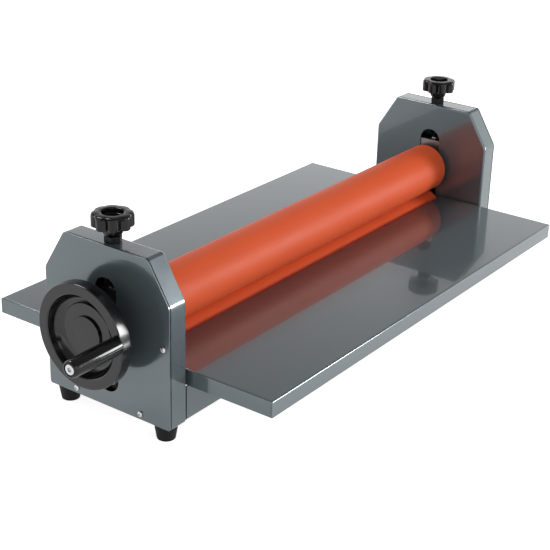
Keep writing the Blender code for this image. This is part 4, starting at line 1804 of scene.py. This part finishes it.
@dataclass
class Handwheel:
    """The dished handwheel, its cap and its turning handle."""

    palette: Palette
    rim_width: float = 0.0130
    rim_depth: float = 0.0152
    web_back: float = 0.0175
    disc_radius: float = 0.036
    disc_drop: float = 0.012
    floor_drop: float = 0.0158
    hub_radius: float = 0.018
    bore: float = 0.0083
    head_radius: float = 0.0063
    edge: float = 0.0011

    def wheel(self) -> None:
        """Turns the wheel and drills its rim for the handle's bolt."""
        node = Extent.of("handwheel")
        centre = Vector((node.low.x, 0, node.middle.z))
        radius = node.size.z / 2
        inner, depth = radius - self.rim_width, node.size.x
        edge = self.edge
        outline = [
            (self.disc_drop, self.bore),
            (self.disc_drop, self.disc_radius - 0.0006),
            (self.disc_drop + 0.0006, self.disc_radius),
            (self.floor_drop, self.disc_radius + 0.0003),
            (self.floor_drop, self.disc_radius + 0.0034),
            (self.floor_drop - 0.0007, self.disc_radius + 0.0056),
            (self.floor_drop - 0.0024, inner - 0.0058),
            (0.0108, inner - 0.0035),
            (0.0075, inner - 0.0019),
            (0.0035, inner - 0.0008),
            (edge, inner - 0.0003),
            (0.35 * edge, inner + 0.35 * edge),
            (0.0, inner + edge),
            (0.0, radius - edge),
            (0.35 * edge, radius - 0.35 * edge),
            (edge, radius),
            (self.rim_depth - 0.6 * edge, radius),
            (self.rim_depth - 0.2 * edge, radius - 0.2 * edge),
            (self.rim_depth, radius - 0.6 * edge),
            (self.rim_depth, inner + 2 * edge),
            (self.web_back, inner - 0.002),
            (self.web_back, self.hub_radius + 0.003),
            (self.web_back + 0.003, self.hub_radius),
            (depth - 0.0010, self.hub_radius - 0.0010),
            (depth, self.hub_radius - 0.0022),
            (depth, self.bore),
        ]
        wheel = Piece.turned("crank_wheel", Axis.X, centre, outline, 128, closed=True)
        bolt = Extent.of("handle_bolt")
        start = Vector((node.low.x - 0.01, bolt.middle.y, bolt.middle.z))
        wheel.cut(Piece.rod("tapped hole", Axis.X, 0.00415, start, 0.0205, 32))
        wheel.soften(0.0004, 3, 28)
        wheel.fit(Body.UPPER_ROLLER, Slot.PLASTIC, self.palette.satin, "handwheel")

    def cap(self) -> None:
        """Turns the cap over the hub."""
        node = Extent.of("handwheel_cap")
        crown = 0.0011
        centre = Vector((node.low.x, 0, node.middle.z))
        radius, depth = node.size.z / 2, node.size.x
        outline = [
            (-crown, 0.0),
            (-crown, radius - 0.0010),
            (0.0002 - crown, radius - 0.0003),
            (0.0007 - crown, radius),
            (0.0017, radius),
            (0.0017, self.bore - 0.0003),
            (depth, self.bore - 0.0003),
            (depth, 0.0),
        ]
        cap = Piece.turned("crank_wheel_cap", Axis.X, centre, outline, 96).soften(0.0002)
        cap.fit(Body.UPPER_ROLLER, Slot.PLASTIC, self.palette.satin, "handwheel_cap")

    def bolt(self) -> None:
        """Turns the handle's shoulder bolt and cuts its hexagon socket."""
        node = Extent.of("handle_bolt")
        centre = Vector((node.low.x, node.middle.y, node.middle.z))
        radius, length = self.head_radius, node.size.x
        head, shank = 0.0055, 0.004
        outline = [
            (0.0, 0.0),
            (0.0, radius - 0.0006),
            (0.0006, radius),
            (head, radius),
            (head, shank),
            (length - 0.0006, shank),
            (length, shank - 0.0006),
            (length, 0.0),
        ]
        bolt = Piece.turned("crank_handle_bolt", Axis.X, centre, outline, 48)
        start = centre - Vector((0.001, 0, 0))
        bolt.cut(Piece.rod("socket", Axis.X, 0.0029, start, 0.004, 6))
        bolt.soften(0.00018)
        bolt.fit(Body.UPPER_ROLLER, Slot.BRIGHT, self.palette.zinc, "handle_bolt")

    def grip(self) -> None:
        """Turns the grip, with its swell and the counterbore for the bolt's head."""
        node = Extent.of("handle_grip")
        centre = Vector((node.high.x, node.middle.y, node.middle.z))
        length, swell = node.size.x, node.size.y / 2
        bore, counterbore = 0.0041, self.head_radius + 0.0006
        outline = [(0.0, bore), (0.0, 0.92 * swell), (-0.0005, 0.955 * swell), (-0.0014, 0.975 * swell)]
        for share in (0.1, 0.2, 0.3, 0.4, 0.5, 0.6, 0.7, 0.8, 0.88, 0.94):
            fall = 0.055 * max(0.0, share - 0.55) / 0.45
            rise = 0.025 * math.sin(min(share / 0.35, 1.0) * math.pi / 2)
            outline.append((-share * length, (0.975 + rise - fall) * swell))
        outline += [
            (-(length - 0.0024), 0.925 * swell),
            (-(length - 0.0012), 0.89 * swell),
            (-(length - 0.0004), 0.84 * swell),
            (-length, 0.77 * swell),
            (-length, counterbore),
            (-(length - 0.0062), counterbore),
            (-(length - 0.0062), bore),
        ]
        grip = Piece.turned("crank_handle_grip", Axis.X, centre, outline, 64, closed=True)
        grip.soften(0.0002, 2, 35)
        grip.fit(Body.HANDLE, Slot.PLASTIC, self.palette.gloss, "handle_grip")

    def build(self) -> None:
        """Builds the wheel and its handle."""
        self.wheel()
        self.cap()
        self.bolt()
        self.grip()


@dataclass
class PressureScrews:
    """The threaded spindles, their star knobs, nuts and bridge blocks."""

    layout: Layout
    palette: Palette
    pitch: float = 0.0015
    thread_depth: float = 0.0008
    lobes: int = 8
    points_per_lobe: int = 12
    valley: float = 0.0187
    crown_valley: float = 0.0221
    head_height: float = 0.0173
    hub_radius: float = 0.0118
    recess_radius: float = 0.0125
    recess_depth: float = 0.0070

    def spindle(self) -> tuple[Piece, Piece]:
        """Cuts the left spindle's thread and turns its thrust collar.

        Returns:
            The spindle and its collar.
        """
        node = Extent.of("left_pressure_screw")
        centre = Vector((node.middle.x, 0, node.low.z))
        radius, collar = 0.005, node.size.x / 2
        root = radius - self.thread_depth
        thread_start = 0.0065
        turns = int((node.size.z - thread_start) / self.pitch) - 1
        tooth = [
            (0.0, root),
            (0.12 * self.pitch, root),
            (0.47 * self.pitch, radius),
            (0.53 * self.pitch, radius),
            (0.88 * self.pitch, root),
            (self.pitch, root),
        ]
        foot = centre + Vector((0, 0, thread_start - self.pitch / 2))
        thread = Piece.coiled("left_pressure_spindle", foot, tooth, self.pitch, turns, 32, closed=False)
        outline = [
            (0.0, 0.0),
            (0.0, 0.0036),
            (0.0004, 0.0040),
            (0.0020, root),
            (0.0020, collar),
            (thread_start, collar),
            (thread_start, 0.0),
        ]
        collar_piece = Piece.turned("left_thrust_collar", Axis.Z, centre, outline, 48)
        return thread.smooth(28), collar_piece.soften(0.0003)

    def knob(self) -> Piece:
        """Turns the left star knob and pushes its rim out into lobes.

        Returns:
            The knob.
        """
        node = Extent.of("left_star_knob")
        centre = Vector((node.middle.x, 0, node.low.z))
        top, radius = node.size.z, node.size.x / 2
        under = top - self.head_height
        hub, bore = self.hub_radius, 0.00515
        outline = [
            (0.0, bore),
            (0.0, 0.86 * hub),
            (0.0009, 0.93 * hub),
            (under - 0.0012, hub),
            (under, hub + 0.0018),
            (under + 0.0002, radius - 0.0030),
            (under + 0.0007, radius - 0.0008),
            (under + 0.0018, radius),
            (top - 0.0050, radius),
            (top - 0.0026, radius - 0.0002),
            (top - 0.0011, radius - 0.0010),
            (top - 0.0002, radius - 0.0027),
            (top, self.recess_radius + 0.0016),
            (top - 0.0006, self.recess_radius + 0.0003),
            (top - self.recess_depth + 0.0010, self.recess_radius - 0.0008),
            (top - self.recess_depth, self.recess_radius - 0.0022),
            (top - self.recess_depth, 0.0),
            (top - self.recess_depth - 0.0018, 0.0),
            (top - self.recess_depth - 0.0018, bore),
        ]
        count = self.lobes * self.points_per_lobe
        knob = Piece.turned("left_pressure_knob", Axis.Z, centre, outline, count, closed=True)
        step = 2 * math.pi / count
        for phase in range(1, self.points_per_lobe):
            lobe = (0.5 + 0.5 * math.cos(2 * math.pi * phase / self.points_per_lobe)) ** 0.45
            for crowned, valley in ((False, self.valley), (True, self.crown_valley)):

                def on_phase(place: Vector, phase: int = phase, crowned: bool = crowned) -> bool:
                    """Whether a point of the knob's rim stands at this part of its lobe."""
                    arm = place - centre
                    turn = round(math.atan2(arm.y, arm.x) / step) % self.points_per_lobe
                    high = arm.z > top - 0.0030
                    return math.hypot(arm.x, arm.y) > 0.0165 and turn == phase and high == crowned

                scale = (valley + (radius - valley) * lobe) / radius
                knob.pick_points(on_phase)
                bpy.ops.transform.resize(value=(scale, scale, 1), center_override=centre)
        bpy.ops.object.mode_set(mode="OBJECT")
        return knob.smooth(38)

    def build(self) -> None:
        """Builds the left screw, knob, nut and bridge block, and copies them."""
        spindle, collar = self.spindle()
        knob = self.knob()
        nut_box, bridge_box = Extent.of("left_lock_nut"), Extent.of("left_bridge_block")
        nut_seat = Vector((nut_box.middle.x, 0, nut_box.low.z))
        nut_radius = max(nut_box.size.x, nut_box.size.y) / 2
        nut = hexagon("left_spindle_nut", Axis.Z, nut_radius, nut_seat, nut_box.size.z, 0.00515)
        bridge = Piece.block("left_spindle_bridge", bridge_box.low, bridge_box.high)
        start = Vector((nut_seat.x, 0, bridge_box.low.z - 0.01))
        bridge.cut(Piece.rod("hole", Axis.Z, 0.0053, start, bridge_box.size.z + 0.02, 32))
        bridge.soften(0.0005)
        middle = self.layout.middle
        for end, body in ((End.LEFT, Body.LEFT_KNOB), (End.RIGHT, Body.RIGHT_KNOB)):
            for piece, word, node, rides, slot, finish in (
                (spindle, "pressure_spindle", "pressure_screw", body, Slot.OXIDE, self.palette.oxide),
                (collar, "thrust_collar", "", body, Slot.BRIGHT, self.palette.zinc),
                (knob, "pressure_knob", "star_knob", body, Slot.PLASTIC, self.palette.gloss),
                (nut, "spindle_nut", "lock_nut", Body.FRAME, Slot.OXIDE, self.palette.oxide),
                (bridge, "spindle_bridge", "bridge_block", Body.FRAME, Slot.OXIDE, self.palette.oxide),
            ):
                made = piece
                if end is End.RIGHT:
                    made = piece.half_turned(f"right_{word}", middle)
                stands_for = [f"{end.label}_{node}"] if node else []
                made.fit(rides, slot, finish, *stands_for)


# The studio


@dataclass(frozen=True)
class SoftBox:
    """A large soft lamp that looks at the machine."""

    name: str
    place: tuple[float, float, float]
    size: tuple[float, float]
    power: float

    def build(self, target: Vector) -> None:
        """Sets the lamp up.

        Args:
            target: The point it looks at.
        """
        lamp = bpy.data.lights.new(self.name, "AREA")
        lamp.shape = "RECTANGLE"
        lamp.size, lamp.size_y = self.size
        lamp.energy = self.power
        holder = bpy.data.objects.new(self.name, lamp)
        bpy.context.scene.collection.objects.link(holder)
        holder.location = self.place
        holder.rotation_mode = "QUATERNION"
        holder.rotation_quaternion = (target - Vector(self.place)).to_track_quat("-Z", "Y")


@dataclass
class Studio:
    """The pale floor, the soft lights and the camera."""

    floor_height: float
    camera_place: tuple[float, float, float] = (-1.2922, -0.9330, 0.7823)
    azimuth: float = -54.274
    elevation: float = 23.861
    roll: float = 1.625
    lens: float = 87.44
    horizon: float = 1.30
    zenith: float = 0.26
    floor_glow: float = 0.82
    floor_bounce: float = 0.40
    floor_shade: float = 0.78
    lamps: tuple[SoftBox, ...] = (
        SoftBox("key strip", (1.95, -2.30, 0.60), (0.75, 1.0), 50.0),
        SoftBox("front softbox", (-0.3, -2.6, 1.5), (2.0, 1.2), 9.0),
        SoftBox("rear top softbox", (0.05, 1.6, 2.4), (1.0, 1.0), 30.0),
    )

    def camera(self) -> None:
        """Sets the camera up from its bearing, height angle and roll."""
        azimuth, elevation, roll = (math.radians(a) for a in (self.azimuth, self.elevation, self.roll))
        back = Vector((
            math.sin(azimuth) * math.cos(elevation),
            -math.cos(azimuth) * math.cos(elevation),
            math.sin(elevation),
        ))
        right = Vector((math.cos(azimuth), math.sin(azimuth), 0))
        up = back.cross(right)
        rolled_right = right * math.cos(roll) + up * math.sin(roll)
        rolled_up = up * math.cos(roll) - right * math.sin(roll)
        lens = bpy.data.cameras.new("camera")
        lens.lens, lens.sensor_width = self.lens, 36.0
        camera = bpy.data.objects.new("camera", lens)
        bpy.context.scene.collection.objects.link(camera)
        turn = Matrix((rolled_right, rolled_up, back)).transposed()
        camera.matrix_world = Matrix.Translation(self.camera_place) @ turn.to_4x4()
        bpy.context.scene.camera = camera

    def floor(self) -> None:
        """Lays the floor."""
        Piece.clear_bench()
        bpy.ops.mesh.primitive_plane_add(size=30, location=(0, 0, self.floor_height))
        floor = bpy.context.object
        floor.name = "studio_floor"
        mix = Mix("pale floor")
        mix.constant(Roughness=0.85, Specular_IOR_Level=0.0)
        mix.constant(Emission_Color=(1, 1, 1, 1))
        shade = self.floor_shade
        tint = mix.blend(mix.noise(3.0), (shade, shade, shade), (1.05 * shade, 1.05 * shade, 1.05 * shade))
        seen = mix.tree.nodes.new("ShaderNodeLightPath").outputs["Is Camera Ray"]
        glow = mix.span(seen, self.floor_bounce, self.floor_glow)
        floor.data.materials.append(mix.finish(Base_Color=tint, Emission_Strength=glow))

    def world(self) -> None:
        """Surrounds the set with white light that is bright at the horizon and dim overhead."""
        world = bpy.data.worlds.new("studio")
        world.use_nodes = True
        tree = world.node_tree
        ground = tree.nodes["Background"]
        ground.inputs["Color"].default_value = (1, 1, 1, 1)
        split = tree.nodes.new("ShaderNodeSeparateXYZ")
        fall = tree.nodes.new("ShaderNodeMapRange")
        fall.interpolation_type = "SMOOTHSTEP"
        for name, value in (
            ("From Min", 0.18),
            ("From Max", 0.55),
            ("To Min", self.horizon),
            ("To Max", self.zenith),
        ):
            fall.inputs[name].default_value = value
        tree.links.new(tree.nodes.new("ShaderNodeTexCoord").outputs["Generated"], split.inputs[0])
        tree.links.new(split.outputs["Z"], fall.inputs["Value"])
        tree.links.new(fall.outputs["Result"], ground.inputs["Strength"])
        scene = bpy.context.scene
        scene.world = world
        scene.view_settings.view_transform = "Standard"

    def build(self, target: Vector) -> None:
        """Builds the whole studio.

        Args:
            target: The point the lamps look at.
        """
        self.floor()
        self.world()
        for lamp in self.lamps:
            lamp.build(target)
        self.camera()


def main() -> None:
    """Builds the looks around the frame."""
    logging.basicConfig(level=logging.INFO, format="%(name)s: %(message)s")
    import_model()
    layout = Layout.measure()
    palette = Palette.build()
    Housings(layout, palette).build()
    Feet(layout, palette).build()
    Channels(layout, palette).build()
    Tables(layout, palette).build()
    Bearings(layout, palette).build()
    Roller("upper", Body.UPPER_ROLLER, palette).build()
    Roller("lower", Body.LOWER_ROLLER, palette).build()
    Handwheel(palette).build()
    PressureScrews(layout, palette).build()
    Studio(layout.floor).build(Vector((0, 0, 0.1)))


if __name__ == "__main__":
    main()
